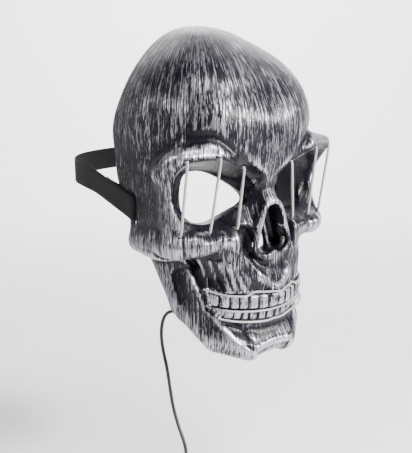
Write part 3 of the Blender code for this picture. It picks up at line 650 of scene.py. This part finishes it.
class MaskSizes(bpy.types.PropertyGroup):
    """Sizes that a user may change."""
    wire: FloatProperty(name="Wire", description="Diameter of the wires", default=WIRE, unit="LENGTH")
    cord: FloatProperty(name="Lead", description="Diameter of the lead", default=CORD, unit="LENGTH")
    strap: FloatProperty(name="Strap", description="Width of the strap", default=STRAP_WIDTH, unit="LENGTH")


class MaskColours(bpy.types.PropertyGroup):
    """Colours that a user may change."""
    plastic: FloatVectorProperty(name="Plastic", description="Moulded plastic under the silver",
                                 default=(0.006, 0.0055, 0.009), subtype="COLOR")
    silver: FloatVectorProperty(name="Silver", description="Paint brushed over the plastic",
                                default=(0.47, 0.47, 0.52), subtype="COLOR")
    wire: FloatVectorProperty(name="Wire", description="Unlit lighting wire",
                              default=(0.36, 0.37, 0.36), subtype="COLOR")
    webbing: FloatVectorProperty(name="Webbing", description="Woven elastic of the strap",
                                 default=(0.006, 0.006, 0.0065), subtype="COLOR")
    jacket: FloatVectorProperty(name="Jacket", description="Jacket of the lead",
                                default=(0.007, 0.007, 0.0075), subtype="COLOR")


class Shader:
    """A material under construction, with its nodes made by short calls."""

    def __init__(self, name, roughness):
        self.made = bpy.data.materials.new(name)
        self.made.use_nodes = True
        self.tree = self.made.node_tree
        self.surface = self.tree.nodes["Principled BSDF"]
        self.surface.inputs["Roughness"].default_value = roughness

    def node(self, kind, inputs=(), **settings):
        node = self.tree.nodes.new(kind)
        for key, value in settings.items():
            setattr(node, key, value)
        for key, value in dict(inputs).items():
            if isinstance(value, bpy.types.NodeSocket):
                self.tree.links.new(value, node.inputs[key])
            else:
                node.inputs[key].default_value = value
        return node.outputs[0]

    def math(self, operation, first, second=0.0):
        return self.node("ShaderNodeMath", {0: first, 1: second}, operation=operation)

    def noise(self, vector, scale, detail=2.0, roughness=0.5):
        return self.node("ShaderNodeTexNoise", {"Vector": vector, "Scale": scale, "Detail": detail,
                                                "Roughness": roughness})

    def between(self, value, low, high, to_low=0.0, to_high=1.0):
        return self.node("ShaderNodeMapRange", {0: value, 1: low, 2: high, 3: to_low, 4: to_high})

    def blend(self, *parts, start=0.0):
        """Sum of values, each with its weight."""
        total = start
        for value, weight in parts:
            total = self.node("ShaderNodeMath", {0: value, 1: weight, 2: total}, operation="MULTIPLY_ADD")
        return total

    def mix(self, share, first, second):
        node = self.tree.nodes.new("ShaderNodeMix")
        node.data_type = "RGBA"
        for key, value in (("Factor", share), ("A", first), ("B", second)):
            socket = [s for s in node.inputs if s.name == key and s.enabled][0]
            if isinstance(value, bpy.types.NodeSocket):
                self.tree.links.new(value, socket)
            else:
                socket.default_value = value
        return [s for s in node.outputs if s.enabled][0]

    def place(self):
        return self.node("ShaderNodeTexCoord").node.outputs["Object"]

    def feed(self, key, value):
        if isinstance(value, bpy.types.NodeSocket):
            self.tree.links.new(value, self.surface.inputs[key])
        else:
            self.surface.inputs[key].default_value = value

    def bump(self, height, depth, strength):
        self.feed("Normal", self.node("ShaderNodeBump", {"Height": height, "Distance": depth,
                                                         "Strength": strength}))


def colour(value):
    return (*value, 1.0)


def attribute(shader, name):
    node = shader.tree.nodes.new("ShaderNodeAttribute")
    node.attribute_name = name
    return node.outputs["Fac"]


def brushed_skull():
    """Black plastic with silver dry-brushed down the skull, thick on edges and thin in hollows."""
    colours = bpy.context.scene.mask_colours
    shader = Shader("brushed_silver", 0.34)
    place = shader.place()
    parts = shader.tree.nodes.new("ShaderNodeSeparateXYZ")
    shader.tree.links.new(place, parts.inputs[0])
    x, y, z = parts.outputs
    crown = shader.math("SUBTRACT", y, CROWN[1])
    flat = shader.node("ShaderNodeCombineXYZ", {0: x, 1: crown, 2: 0.0})
    turn = shader.node("ShaderNodeVectorMath", {0: flat}, operation="NORMALIZE")
    around = shader.node("ShaderNodeVectorMath", {0: turn, "Scale": SKULL_RADIUS}, operation="SCALE")
    noises = []
    for stretch, scale, detail, roughness, weight in STREAKS:
        fall = shader.math("MULTIPLY", z, stretch)
        lift = shader.node("ShaderNodeCombineXYZ", {0: 0.0, 1: 0.0, 2: fall})
        combed = shader.node("ShaderNodeVectorMath", {0: around, 1: lift}, operation="ADD")
        noises.append((shader.noise(combed, scale, detail, roughness), weight))
    fine = noises[1][0]
    patches = (shader.noise(place, PATCH_SCALE, 2.0, 0.5), PATCH_WEIGHT)
    outside = attribute(shader, "outside")
    streaks = shader.blend(*noises, patches)
    masks = [(attribute(shader, name), weight) for name, weight in PAINT_FOLLOWS]
    level = shader.blend((streaks, STREAK_WEIGHT), *masks, start=PAINT_START)
    paint = shader.math("MULTIPLY", shader.between(level, 0.1, 0.9), outside)
    shader.feed("Base Color", shader.mix(paint, colour(colours.plastic), colour(colours.silver)))
    shader.feed("Metallic", shader.math("MULTIPLY", paint, 0.9))
    shader.feed("Roughness", shader.between(fine, 0.3, 0.7, 0.24, 0.36))
    shader.feed("Specular IOR Level", 0.25)
    shader.bump(shader.math("MULTIPLY", streaks, outside), 0.0003, 0.5)
    return shader.made


def wire_plastic():
    colours = bpy.context.scene.mask_colours
    shader = Shader("lighting_wire", 0.28)
    # Mask of painted shade on the wire's outline, strongest where the round wire turns away from view
    edge_shade_mask = shader.node("ShaderNodeLayerWeight", {"Blend": 0.35}).node.outputs["Facing"]
    shade = shader.noise(shader.place(), 90.0)
    # Darker tone of the wire: random mottle along the wire, and painted shade at its outline
    rim = tuple(0.45 * part for part in colours.wire)
    core = shader.mix(shader.between(shade, 0.3, 0.7, 0.0, 0.35), colour(colours.wire), colour(rim))
    # Painted shade: the wire's colour darkens towards its outline, where the round wire turns away from view
    shader.feed("Base Color", shader.mix(shader.between(edge_shade_mask, 0.35, 0.95), core, colour(rim)))
    shader.feed("Coat Weight", 0.6)
    shader.feed("Coat Roughness", 0.12)
    return shader.made


def black_rubber():
    colours = bpy.context.scene.mask_colours
    shader = Shader("lead_rubber", 0.45)
    grain = shader.noise(shader.place(), 900.0, 2.0)
    light = tuple(2.2 * part for part in colours.jacket)
    shader.feed("Base Color", shader.mix(grain, colour(colours.jacket), colour(light)))
    shader.bump(grain, 0.0001, 0.4)
    return shader.made


def black_webbing():
    """Woven elastic: ribs along the strap and picks across it, on the strap's own map in metres."""
    colours = bpy.context.scene.mask_colours
    shader = Shader("woven_elastic", 0.82)
    lay = shader.node("ShaderNodeUVMap")
    parts = shader.tree.nodes.new("ShaderNodeSeparateXYZ")
    shader.tree.links.new(lay, parts.inputs[0])
    across, along = parts.outputs[0], parts.outputs[1]
    rib = shader.math("SINE", shader.math("MULTIPLY", across, 2 * math.pi / 0.0016))
    pick = shader.math("SINE", shader.math("MULTIPLY", along, 2 * math.pi / 0.0011))
    weave = shader.math("ADD", shader.math("MULTIPLY", rib, 0.6), shader.math("MULTIPLY", pick, 0.25))
    fuzz = shader.noise(shader.place(), 1400.0, 3.0)
    light = tuple(3.0 * part for part in colours.webbing)
    share = shader.between(shader.math("ADD", weave, fuzz), -0.4, 1.4)
    shader.feed("Base Color", shader.mix(share, colour(colours.webbing), colour(light)))
    shader.feed("Specular IOR Level", 0.25)
    shader.bump(shader.math("ADD", weave, shader.math("MULTIPLY", fuzz, 0.5)), 0.00025, 0.8)
    return shader.made


def finish_of(name, make):
    return bpy.data.materials.get(name) or make()


def add_object(name, data, finish=None):
    made = bpy.data.objects.new(name, data)
    bpy.context.scene.collection.objects.link(made)
    if finish:
        data.materials.append(finish)
    return made


def loft(target, rings):
    """Join rings of points, given from the nose's root, into one closed body of a bmesh."""
    rings = np.asarray(rings, float)
    rings = np.concatenate((rings, rings[:, :1]), axis=1) - SEAT
    rows, across = rings.shape[:2]
    made = bmesh.ops.create_grid(target, x_segments=across - 1, y_segments=rows - 1, size=1.0)["verts"]
    for vert, point in zip(made, rings.reshape(-1, 3)):
        vert.co = point
    bmesh.ops.remove_doubles(target, verts=made, dist=1e-6)
    for end in (made[:across], made[-across:]):
        cap = target.faces.new([vert for vert in end if vert.is_valid])
        bmesh.ops.triangulate(target, faces=[cap], ngon_method="EAR_CLIP")


def finish_mesh(name, target, sharp=40):
    bmesh.ops.recalc_face_normals(target, faces=target.faces)
    mesh = bpy.data.meshes.new(name)
    target.to_mesh(mesh)
    target.free()
    mesh.shade_smooth()
    mesh.set_sharp_from_angle(angle=math.radians(sharp))
    return mesh


def stand_for(piece, node):
    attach(piece, "root")
    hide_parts(*np.atleast_1d(node).tolist())
    return piece


def near_values(face, axes):
    """Values of a field on a grid, worked out near the face only and for one half of the skull."""
    x, y, z = axes
    middle = int(np.argmin(np.abs(x)))
    half = x[middle:]
    step = 4
    cell = z[1] - z[0]
    value = np.ones((len(half), len(y), len(z)))
    lows = [np.arange(0, len(axis), step) for axis in (half, y, z)]
    blocks = np.stack(np.meshgrid(*lows, indexing="ij"), axis=-1).reshape(-1, 3)
    centre = np.stack([axis[0] + (blocks[:, n] + (step - 1) / 2) * cell
                       for n, axis in enumerate((half, y, z))], axis=1)
    rough = face(centre)
    inside = rough < 0
    close = np.abs(rough) < cell * step * 1.6
    offset = np.stack(np.meshgrid(*[np.arange(step)] * 3, indexing="ij"), axis=-1).reshape(-1, 3)
    for a, b, c in blocks[inside & ~close]:
        value[a:a + step, b:b + step, c:c + step] = -1
    spots = (blocks[close][:, None] + offset).reshape(-1, 3)
    fits = (spots < value.shape).all(axis=1)
    spots = spots[fits]
    places = np.stack([half[spots[:, 0]], y[spots[:, 1]], z[spots[:, 2]]], axis=1)
    value[tuple(spots.T)] = face(places)
    return np.concatenate((value[:0:-1], value))


def surface_net(face, low, high, cell):
    """Points and four-sided faces that enclose the space where a field is negative."""
    reach = math.ceil(high[0] / cell)
    axes = [cell * np.arange(-reach, reach + 1)]
    axes += [cell * np.arange(math.floor(start / cell), math.ceil(end / cell) + 1)
             for start, end in zip(low[1:], high[1:])]
    value = near_values(face, axes)
    grid = np.stack(np.meshgrid(*axes, indexing="ij"), axis=-1)
    inside = value < 0
    cells = tuple(size - 1 for size in value.shape)
    total = np.zeros((*cells, 3))
    count = np.zeros(cells)
    corners = [(i, j, k) for i in (0, 1) for j in (0, 1) for k in (0, 1)]
    for first in corners:
        for axis in range(3):
            if first[axis]:
                continue
            last = tuple(step + (axis == n) for n, step in enumerate(first))
            a, b = (tuple(slice(step, step + size) for step, size in zip(corner, cells))
                    for corner in (first, last))
            cross = inside[a] != inside[b]
            share = np.where(cross, value[a] / np.where(cross, value[a] - value[b], 1), 0)
            total += cross[..., None] * (grid[a] + share[..., None] * (grid[b] - grid[a]))
            count += cross
    active = count > 0
    number = np.full(cells, -1)
    number[active] = np.arange(active.sum())
    points = total[active] / count[active][:, None]
    quads = []
    for axis in range(3):
        across, up = [n for n in range(3) if n != axis]
        a = [slice(1, -1)] * 3
        b = [slice(1, -1)] * 3
        a[axis], b[axis] = slice(0, -1), slice(1, None)
        change = inside[tuple(a)] != inside[tuple(b)]
        where = np.argwhere(change)
        where[:, [across, up]] += 1
        around = []
        for shift_across, shift_up in ((-1, -1), (0, -1), (0, 0), (-1, 0)):
            spot = where.copy()
            spot[:, across] += shift_across
            spot[:, up] += shift_up
            around.append(number[tuple(spot.T)])
        around = np.stack(around, axis=1)
        turn = inside[tuple(a)][change]
        if axis == 1:
            turn = ~turn
        around[~turn] = around[~turn][:, ::-1]
        quads.append(around)
    return settle(face, points, cell / 2), np.concatenate(quads)


def body_of(name, face, end, cell):
    """Object of the closed body in which a field is negative, cut off at a depth behind the rim."""
    points, quads = surface_net(lambda points: np.maximum(face(points), points[:, 1] - end * SHARE[1]),
                                BODY_LOW * SHARE, BODY_HIGH * SHARE, cell)
    mesh = bpy.data.meshes.new(name)
    mesh.from_pydata(points - SEAT, [], quads.tolist())
    mesh.shade_smooth()
    return add_object(name, mesh)


def behind_rim():
    """Body of all that lies behind the rim, as a prism along X."""
    y = RIM_CURVE[::4, 1] * SHARE[1]
    z = RIM_CURVE[::4, 0] * SHARE[2]
    back = BODY_HIGH[1] * SHARE[1]
    outline = np.stack((0 * y, y, z), axis=1)
    corners = np.array(((0, back, z[-1]), (0, back, z[0])))
    ring = np.concatenate((outline, corners))
    half = np.array((BODY_HIGH[0] * SHARE[0], 0, 0))
    target = bmesh.new()
    loft(target, (ring - half, ring + half))
    return add_object("behind_rim", finish_mesh("behind_rim", target))


def shell_openings(eye_holes, mouth_holes):
    """All openings of the shell as separate closed bodies."""
    target = bmesh.new()
    eye = smooth_curve(EYE_OUTLINE, 90, closed=True)
    nostril = oval(NOSTRIL_MIDDLE, NOSTRIL_RADII, 24)
    for outline, (front, back) in ((eye, EYE_CUT), (nostril, NOSTRIL_CUT)):
        rings = np.array([plane_ring(outline, front), plane_ring(outline, back)])
        loft(target, rings)
        loft(target, mirrored(rings))
    slot_y, slot_z = SLOT_PLACE[0] * SHARE[1], SLOT_PLACE[1] * SHARE[2]
    slot_x = seen_along(outer_face, (0, slot_y, slot_z), 0, 0.11, 0.03)[0][0] - WALL / 2
    slot = box_rings((slot_x, slot_y, slot_z), (WALL + 2 * THROUGH, SLOT_WIDTH, SLOT_LENGTH))
    loft(target, slot)
    loft(target, mirrored(slot))
    top = seen_along(outer_face, (0, TOP_SLOT_PLACE * SHARE[1], 0), 2, 0.16, 0.05)[0]
    loft(target, box_rings(top - np.array((0, 0, WALL / 2)),
                           (TOP_SLOT_LENGTH, TOP_SLOT_WIDTH, WALL + 2 * THROUGH)))
    for point in eye_holes:
        rings = np.array([circle_at(point + np.array((0, shift, 0)), (0, 1, 0), WIRE_HOLE / 2, HOLE_SIDES)
                          for shift in (-THROUGH, WALL + EYE_HOLE_PAST)])
        loft(target, rings)
        loft(target, mirrored(rings))
    for point, outward in mouth_holes:
        loft(target, [circle_at(point + outward * shift, outward, WIRE_HOLE / 2, HOLE_SIDES)
                      for shift in (THROUGH, -WALL - THROUGH)])
    return add_object("openings", finish_mesh("openings", target))


def curvature(points, reach):
    """How far the outer face bulges at points: positive on ridges, negative in hollows."""
    total = -6 * outer_face(points)
    for axis in range(3):
        for way in (-reach, reach):
            moved = points.copy()
            moved[:, axis] += way
            total = total + outer_face(moved)
    return total / reach


def depth_in_hollows(points):
    """1 in the eye sockets, the nose and the hollows of the cheeks, 0 on the open skull."""
    x, y, z = (points / SHARE).T
    side = np.sqrt(x * x + MIDDLE_SOFTENING)
    socket = ramp(0.045, 0.0, eye_socket(side, y, z))
    pear = nose_opening(side, z) + NOSE_RIM_PLACE
    nose = ramp(0.02, 0.0, np.maximum(pear, y - 0.10))
    deep = np.maximum(socket, nose)
    for name, kind, blend, sizes in HOLLOWS[:2]:
        form = KINDS[kind.lstrip("-")](side, y, z, *sizes)
        deep = np.maximum(deep, 0.8 * ramp(0.07, 0.0, form))
    return deep


def note_relief(mesh):
    """Store on the shell's points what the paint follows."""
    count = len(mesh.vertices)
    points = np.empty(count * 3)
    mesh.vertices.foreach_get("co", points)
    points = points.reshape(-1, 3) + SEAT
    broad, middle, fine = (curvature(points, reach) - MEAN_CURVE * reach
                           for reach in (0.010, 0.0042, 0.0015))
    outside = np.clip(1 + outer_face(points) / PAINT_BLEED, 0, 1)
    x, _, z = np.abs(points / SHARE).T
    aside = ramp(0.66, 0.78, x) * ramp(0.40, 0.25, z)
    values = {
        "raised": np.clip(0.35 * broad + 0.8 * middle, -0.7, 0.7) - 0.25 * aside,
        "edge": np.clip(fine * 1.6, -0.8, 0.9),
        "deep": depth_in_hollows(points),
        "outside": outside}
    for name, value in values.items():
        mesh.attributes.new(name, "FLOAT", "POINT").data.foreach_set("value", value.astype(np.float32))


def applied(made):
    """The object's mesh with its modifiers carried out."""
    graph = bpy.context.evaluated_depsgraph_get()
    mesh = bpy.data.meshes.new_from_object(made.evaluated_get(graph), depsgraph=graph)
    made.modifiers.clear()
    made.data = mesh
    return mesh


def look_from(camera, target):
    camera.rotation_euler = (target - camera.location).to_track_quat("-Z", "Y").to_euler()


# Lights: name, turn from the front towards the wearer's left, rise, distance, size, power and how far
# behind the mask they aim
LIGHTS = (
    ("front_softbox", 20, 20, 0.95, (0.19, 0.12), 34.0, 0.0),
    ("top_softbox", 12, 62, 0.95, (0.34, 0.10), 11.0, 0.0),
    ("side_softbox", -112, 18, 0.95, (0.12, 0.26), 5.0, 0.0),
    ("backdrop_light", 140, 40, 2.0, (2.4, 0.5), 130.0, 2.6),
)
CROWN = np.array((0, 0.84, 1.25)) * SHARE - SEAT


class MASK_OT_stage(bpy.types.Operator):
    """Set up the camera, the floor and the lights"""
    bl_idname = "mask.stage"
    bl_label = "Stage"

    def execute(self, context):
        turn, rise = CAMERA_TURN, CAMERA_RISE
        back = Vector((-math.sin(turn) * math.cos(rise), -math.cos(turn) * math.cos(rise), math.sin(rise)))
        right = Vector((math.cos(turn), -math.sin(turn), 0))
        up = right.cross(-back)
        lens = bpy.data.cameras.new("camera")
        lens.lens = CAMERA_LENS
        lens.sensor_width = 36
        lens.clip_start = 0.01
        camera = bpy.data.objects.new("camera", lens)
        camera.location = back * CAMERA_FAR + right * CAMERA_ASIDE + up * CAMERA_UP - Vector(SEAT)
        camera.rotation_euler = (-back).to_track_quat("-Z", "Y").to_euler()
        context.scene.collection.objects.link(camera)
        context.scene.camera = camera
        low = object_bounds()[0][2] - FLOOR_DROP
        away = np.array((-back.x, -back.y, 0)) / math.hypot(back.x, back.y)
        across = np.array((right.x, right.y, 0))
        turns = np.linspace(0, math.pi / 2, 12)
        sweep = [(SWEEP_START + SWEEP_BEND * math.sin(t), SWEEP_BEND - SWEEP_BEND * math.cos(t))
                 for t in turns]
        profile = [(FLOOR_NEAR, 0.0), (FLOOR_FAR, 0.0), *sweep, (SWEEP_START + SWEEP_BEND, SWEEP_TOP)]
        target = bmesh.new()
        verts = bmesh.ops.create_grid(target, x_segments=1, y_segments=len(profile) - 1, size=1.0)["verts"]
        for index, vert in enumerate(verts):
            run, rise = profile[index // 2]
            aside = FLOOR_HALF_WIDTH * (2 * (index % 2) - 1)
            vert.co = away * run + across * aside + np.array((0, 0, low + rise))
        floor = add_object("floor", finish_mesh("floor", target))
        paper = Shader("pale_floor", 0.9)
        paper.feed("Base Color", (0.86, 0.86, 0.87, 1.0))
        paper.feed("Specular IOR Level", 0.1)
        floor.data.materials.append(paper.made)
        floor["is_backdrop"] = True
        world = bpy.data.worlds.new("studio")
        world.use_nodes = True
        sky = world.node_tree.nodes["Background"]
        sky.inputs[0].default_value = (1.0, 1.0, 1.0, 1.0)
        sky.inputs[1].default_value = 0.04
        context.scene.world = world
        for name, turn, rise, far, size, power, aim in LIGHTS:
            light = bpy.data.lights.new(name, "AREA")
            light.shape = "RECTANGLE"
            light.size, light.size_y = size
            light.energy = power
            lamp = bpy.data.objects.new(name, light)
            turn, rise = math.radians(turn), math.radians(rise)
            lamp.location = far * Vector((math.sin(turn) * math.cos(rise), -math.cos(turn) * math.cos(rise),
                                          math.sin(rise)))
            look_from(lamp, Vector(away) * aim)
            context.scene.collection.objects.link(lamp)
        return {"FINISHED"}


def tube(name, points, width, finish, resolution=4):
    curve = bpy.data.curves.new(name, "CURVE")
    curve.dimensions = "3D"
    curve.bevel_depth = width / 2
    curve.bevel_resolution = resolution
    curve.use_fill_caps = True
    spline = curve.splines.new("POLY")
    spline.points.add(len(points) - 1)
    for target, point in zip(spline.points, np.asarray(points) - SEAT):
        target.co = (*point, 1.0)
    return add_object(name, curve, finish)


class MASK_OT_lead(bpy.types.Operator):
    """Build the lead with its coil, and finish its gland, tie and plug"""
    bl_idname = "mask.lead"
    bl_label = "Lead"

    def execute(self, context):
        rubber = finish_of("lead_rubber", black_rubber)
        width = context.scene.mask_sizes.cord
        route = np.array(CORD_ROUTE) + np.array(GLAND_PLACE) * SHARE
        bend = COIL_DIAMETER * 0.3
        middle = COIL_DIAMETER / 2
        centre = route[-1] + np.array((bend, 0, -COIL_DROP))
        turns = np.linspace(0, math.pi / 2, 10)[1:-1]
        arc = [centre + np.array((-bend * math.cos(turn), 0, middle + bend - bend * math.sin(turn)))
               for turn in turns]
        hang = smooth_curve([*route, *arc], 70)
        spots = np.linspace(0, 1, int(COIL_TURNS * 24) + 7)
        turn = 2 * math.pi * (COIL_TURNS + 0.25) * spots
        layer = turn / (2 * math.pi)
        out = middle + width * np.round(np.interp(layer % 3, (0, 1, 2, 3), (-1, 0, 1, -1)), 6)
        depth = width * np.interp(layer, (0, 2.7, 3.3, 5.7, 6.3, 9.3), (-1, -1, 0, 0, 1, 1))
        coil = centre + np.stack((np.sin(turn) * out, depth, np.cos(turn) * out), axis=1)
        line = np.concatenate((hang, coil))
        lead = stand_for(tube("lead", line, width, rubber, 3), ("cord", "cord_coil"))
        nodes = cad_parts
        for name in ("cord_gland", "cord_tie", "cord_plug"):
            nodes[name].data.materials.clear()
            nodes[name].data.materials.append(rubber)
        return {"FINISHED"}


class MASK_OT_shell(bpy.types.Operator):
    """Sculpt the skull-shaped shell and paint it"""
    bl_idname = "mask.shell"
    bl_label = "Shell"

    def execute(self, context):
        eye_holes, mouth_holes = [], []
        for _, upper, lower in EYE_WIRES:
            eye_holes += eye_wire_points(upper, lower)[0]
        for _, *sizes in MOUTH_WIRES:
            on_teeth, outward, _ = mouth_wire_points(*sizes)
            mouth_holes += [(on_teeth[0], outward[0]), (on_teeth[-1], outward[-1])]
        shell = body_of("skull_shell", outer_face, BODY_END, OUTER_CELL)
        hollow = body_of("hollow", inner_face, HOLLOW_END, INNER_CELL)
        cutters = (behind_rim(), hollow, shell_openings(eye_holes, mouth_holes))
        for cutter in cutters:
            cut = shell.modifiers.new(cutter.name, "BOOLEAN")
            cut.operation = "DIFFERENCE"
            cut.solver = "EXACT"
            cut.object = cutter
        mesh = applied(shell)
        for cutter in cutters:
            bpy.data.objects.remove(cutter, do_unlink=True)
        mesh.materials.clear()
        mesh.materials.append(finish_of("brushed_silver", brushed_skull))
        mesh.shade_smooth()
        mesh.set_sharp_from_angle(angle=math.radians(50))
        note_relief(mesh)
        stand_for(shell, "mask_shell")
        return {"FINISHED"}


class MASK_OT_wires(bpy.types.Operator):
    """Build the wires across the eye openings and the teeth"""
    bl_idname = "mask.wires"
    bl_label = "Wires"

    def execute(self, context):
        finish = finish_of("lighting_wire", wire_plastic)
        width = context.scene.mask_sizes.wire
        mouth_width = width * MOUTH_WIRE_SHARE
        for name, upper, lower in EYE_WIRES:
            route = eye_wire_points(upper, lower)[1]
            for side, points in (("left", route), ("right", mirrored(route))):
                wire = tube(f"wire_eye_{side}_{name}", points, width, finish)
                stand_for(wire, f"eye_wire_{side}_{name}")
        for name, *sizes in MOUTH_WIRES:
            on_teeth, outward, run = mouth_wire_points(*sizes)
            tail = WALL + WIRE_TAIL
            first = on_teeth[0] - outward[0] * tail
            last = on_teeth[-1] - outward[-1] * tail
            route = smooth_curve([first, on_teeth[0], *run, on_teeth[-1], last], 80)
            wire = tube("wire_mouth_" + name, route, mouth_width, finish)
            stand_for(wire, "mouth_wire_" + name)
        return {"FINISHED"}


def strap_plan():
    """Middle line of the strap from one folded end round the head to the other, seen from above."""
    slot = SLOT_PLACE[0] * SHARE[1]
    z = SLOT_PLACE[1] * SHARE[2]
    heights = z + np.linspace(-0.6, 0.6, 9) * STRAP_WIDTH
    depths = np.linspace(slot - SLOT_WIDTH, rim_depth(z + STRAP_WIDTH), 9)
    starts = np.array([(0, y, height) for y in depths for height in heights])
    outside = seen_along(outer_face, starts, 0, 0.11, 0.03)[:, 0].max() + FACET + STRAP_THICKNESS / 2
    inside = seen_along(inner_face, starts, 0, 0.11, 0.03)[:, 0].min() - FACET - STRAP_THICKNESS / 2
    rim = rim_depth(z + STRAP_WIDTH / 2)
    beside = outside - STRAP_THICKNESS - CLEARANCE
    fold = [
        (beside, rim + STRAP_FOLD, z), (beside, rim + 0.7 * STRAP_FOLD, z),
        (inside + 0.6 * (beside - inside), rim + 0.35 * STRAP_FOLD, z), (inside, rim, z),
        (inside, (rim + slot) / 2 + 0.001, z), (inside, slot + 0.0012, z),
        ((inside + outside) / 2, slot - 0.0002, z), (outside, slot + 0.0012, z),
        (outside, (rim + slot) / 2 + 0.001, z), (outside, rim, z), (outside, rim + STRAP_FOLD, z)]
    run = [(x * SHARE[0], slot + share * STRAP_REACH, height * SHARE[2]) for share, x, height in STRAP_RUN]
    fold = np.array(fold)
    fold[:, 2] += STRAP_RISE * (fold[:, 1] - slot)
    half = np.concatenate((fold, run))
    return np.concatenate((half, mirrored(half[-2::-1])))


# Half of the strap's section: across in half widths, and through in thicknesses
STRAP_EDGE = (
    (-1.00, 0.00), (-0.985, 0.30), (-0.95, 0.50), (-0.60, 0.50), (-0.20, 0.50), (0.20, 0.50), (0.60, 0.50),
    (0.95, 0.50), (0.985, 0.30))
STRAP_SECTION = STRAP_EDGE + tuple((-a, -b) for a, b in STRAP_EDGE)


class MASK_OT_strap(bpy.types.Operator):
    """Build the woven strap through its slots and round the back"""
    bl_idname = "mask.strap"
    bl_label = "Strap"

    def execute(self, context):
        plan = smooth_curve(strap_plan(), 300)
        ahead = unit(np.gradient(plan, axis=0) * np.array((1, 1, 0)))
        across = np.stack((-ahead[:, 1], ahead[:, 0], 0 * ahead[:, 0]), axis=1)
        width = context.scene.mask_sizes.strap
        up = np.array((0, 0, 1))
        rings = np.stack([plan + up * a * width / 2 + across * b * STRAP_THICKNESS
                          for a, b in STRAP_SECTION], axis=1)
        target = bmesh.new()
        loft(target, rings)
        mesh = finish_mesh("strap", target, 60)
        run = np.concatenate(([0], np.cumsum(np.linalg.norm(np.diff(plan, axis=0), axis=1))))
        points = plan - SEAT
        lay = mesh.uv_layers.new(name="lay")
        where = np.array([vert.co for vert in mesh.vertices])
        nearest = np.array([np.argmin(((points - co) ** 2)[:, :2].sum(axis=1)) for co in where])
        for loop in mesh.loops:
            index = loop.vertex_index
            lay.data[loop.index].uv = (where[index][2] - points[nearest[index]][2], run[nearest[index]])
        strap = add_object("strap", mesh, finish_of("woven_elastic", black_webbing))
        stand_for(strap, "head_strap")
        return {"FINISHED"}


class MASK_PT_panel(bpy.types.Panel):
    """Sizes and colours, and a button for each group of pieces"""
    bl_label = "Skull mask"
    bl_idname = "MASK_PT_panel"
    bl_space_type = "VIEW_3D"
    bl_region_type = "UI"
    bl_category = "Mask"

    def draw(self, context):
        layout = self.layout
        for group in (context.scene.mask_sizes, context.scene.mask_colours):
            for name in group.__annotations__:
                layout.prop(group, name)
        for operator in OPERATORS:
            layout.operator(operator.bl_idname)


OPERATORS = (MASK_OT_stage, MASK_OT_lead, MASK_OT_shell, MASK_OT_wires, MASK_OT_strap)
CLASSES = (MaskSizes, MaskColours, *OPERATORS, MASK_PT_panel)


def register():
    for each in CLASSES:
        bpy.utils.register_class(each)
    bpy.types.Scene.mask_sizes = PointerProperty(type=MaskSizes)
    bpy.types.Scene.mask_colours = PointerProperty(type=MaskColours)


def unregister():
    del bpy.types.Scene.mask_sizes
    del bpy.types.Scene.mask_colours
    for each in reversed(CLASSES):
        bpy.utils.unregister_class(each)


def main():
    register()
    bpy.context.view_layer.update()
    bpy.ops.mask.stage()
    bpy.ops.mask.lead()
    bpy.ops.mask.shell()
    bpy.ops.mask.wires()
    bpy.ops.mask.strap()


if __name__ == "__main__":
    main()
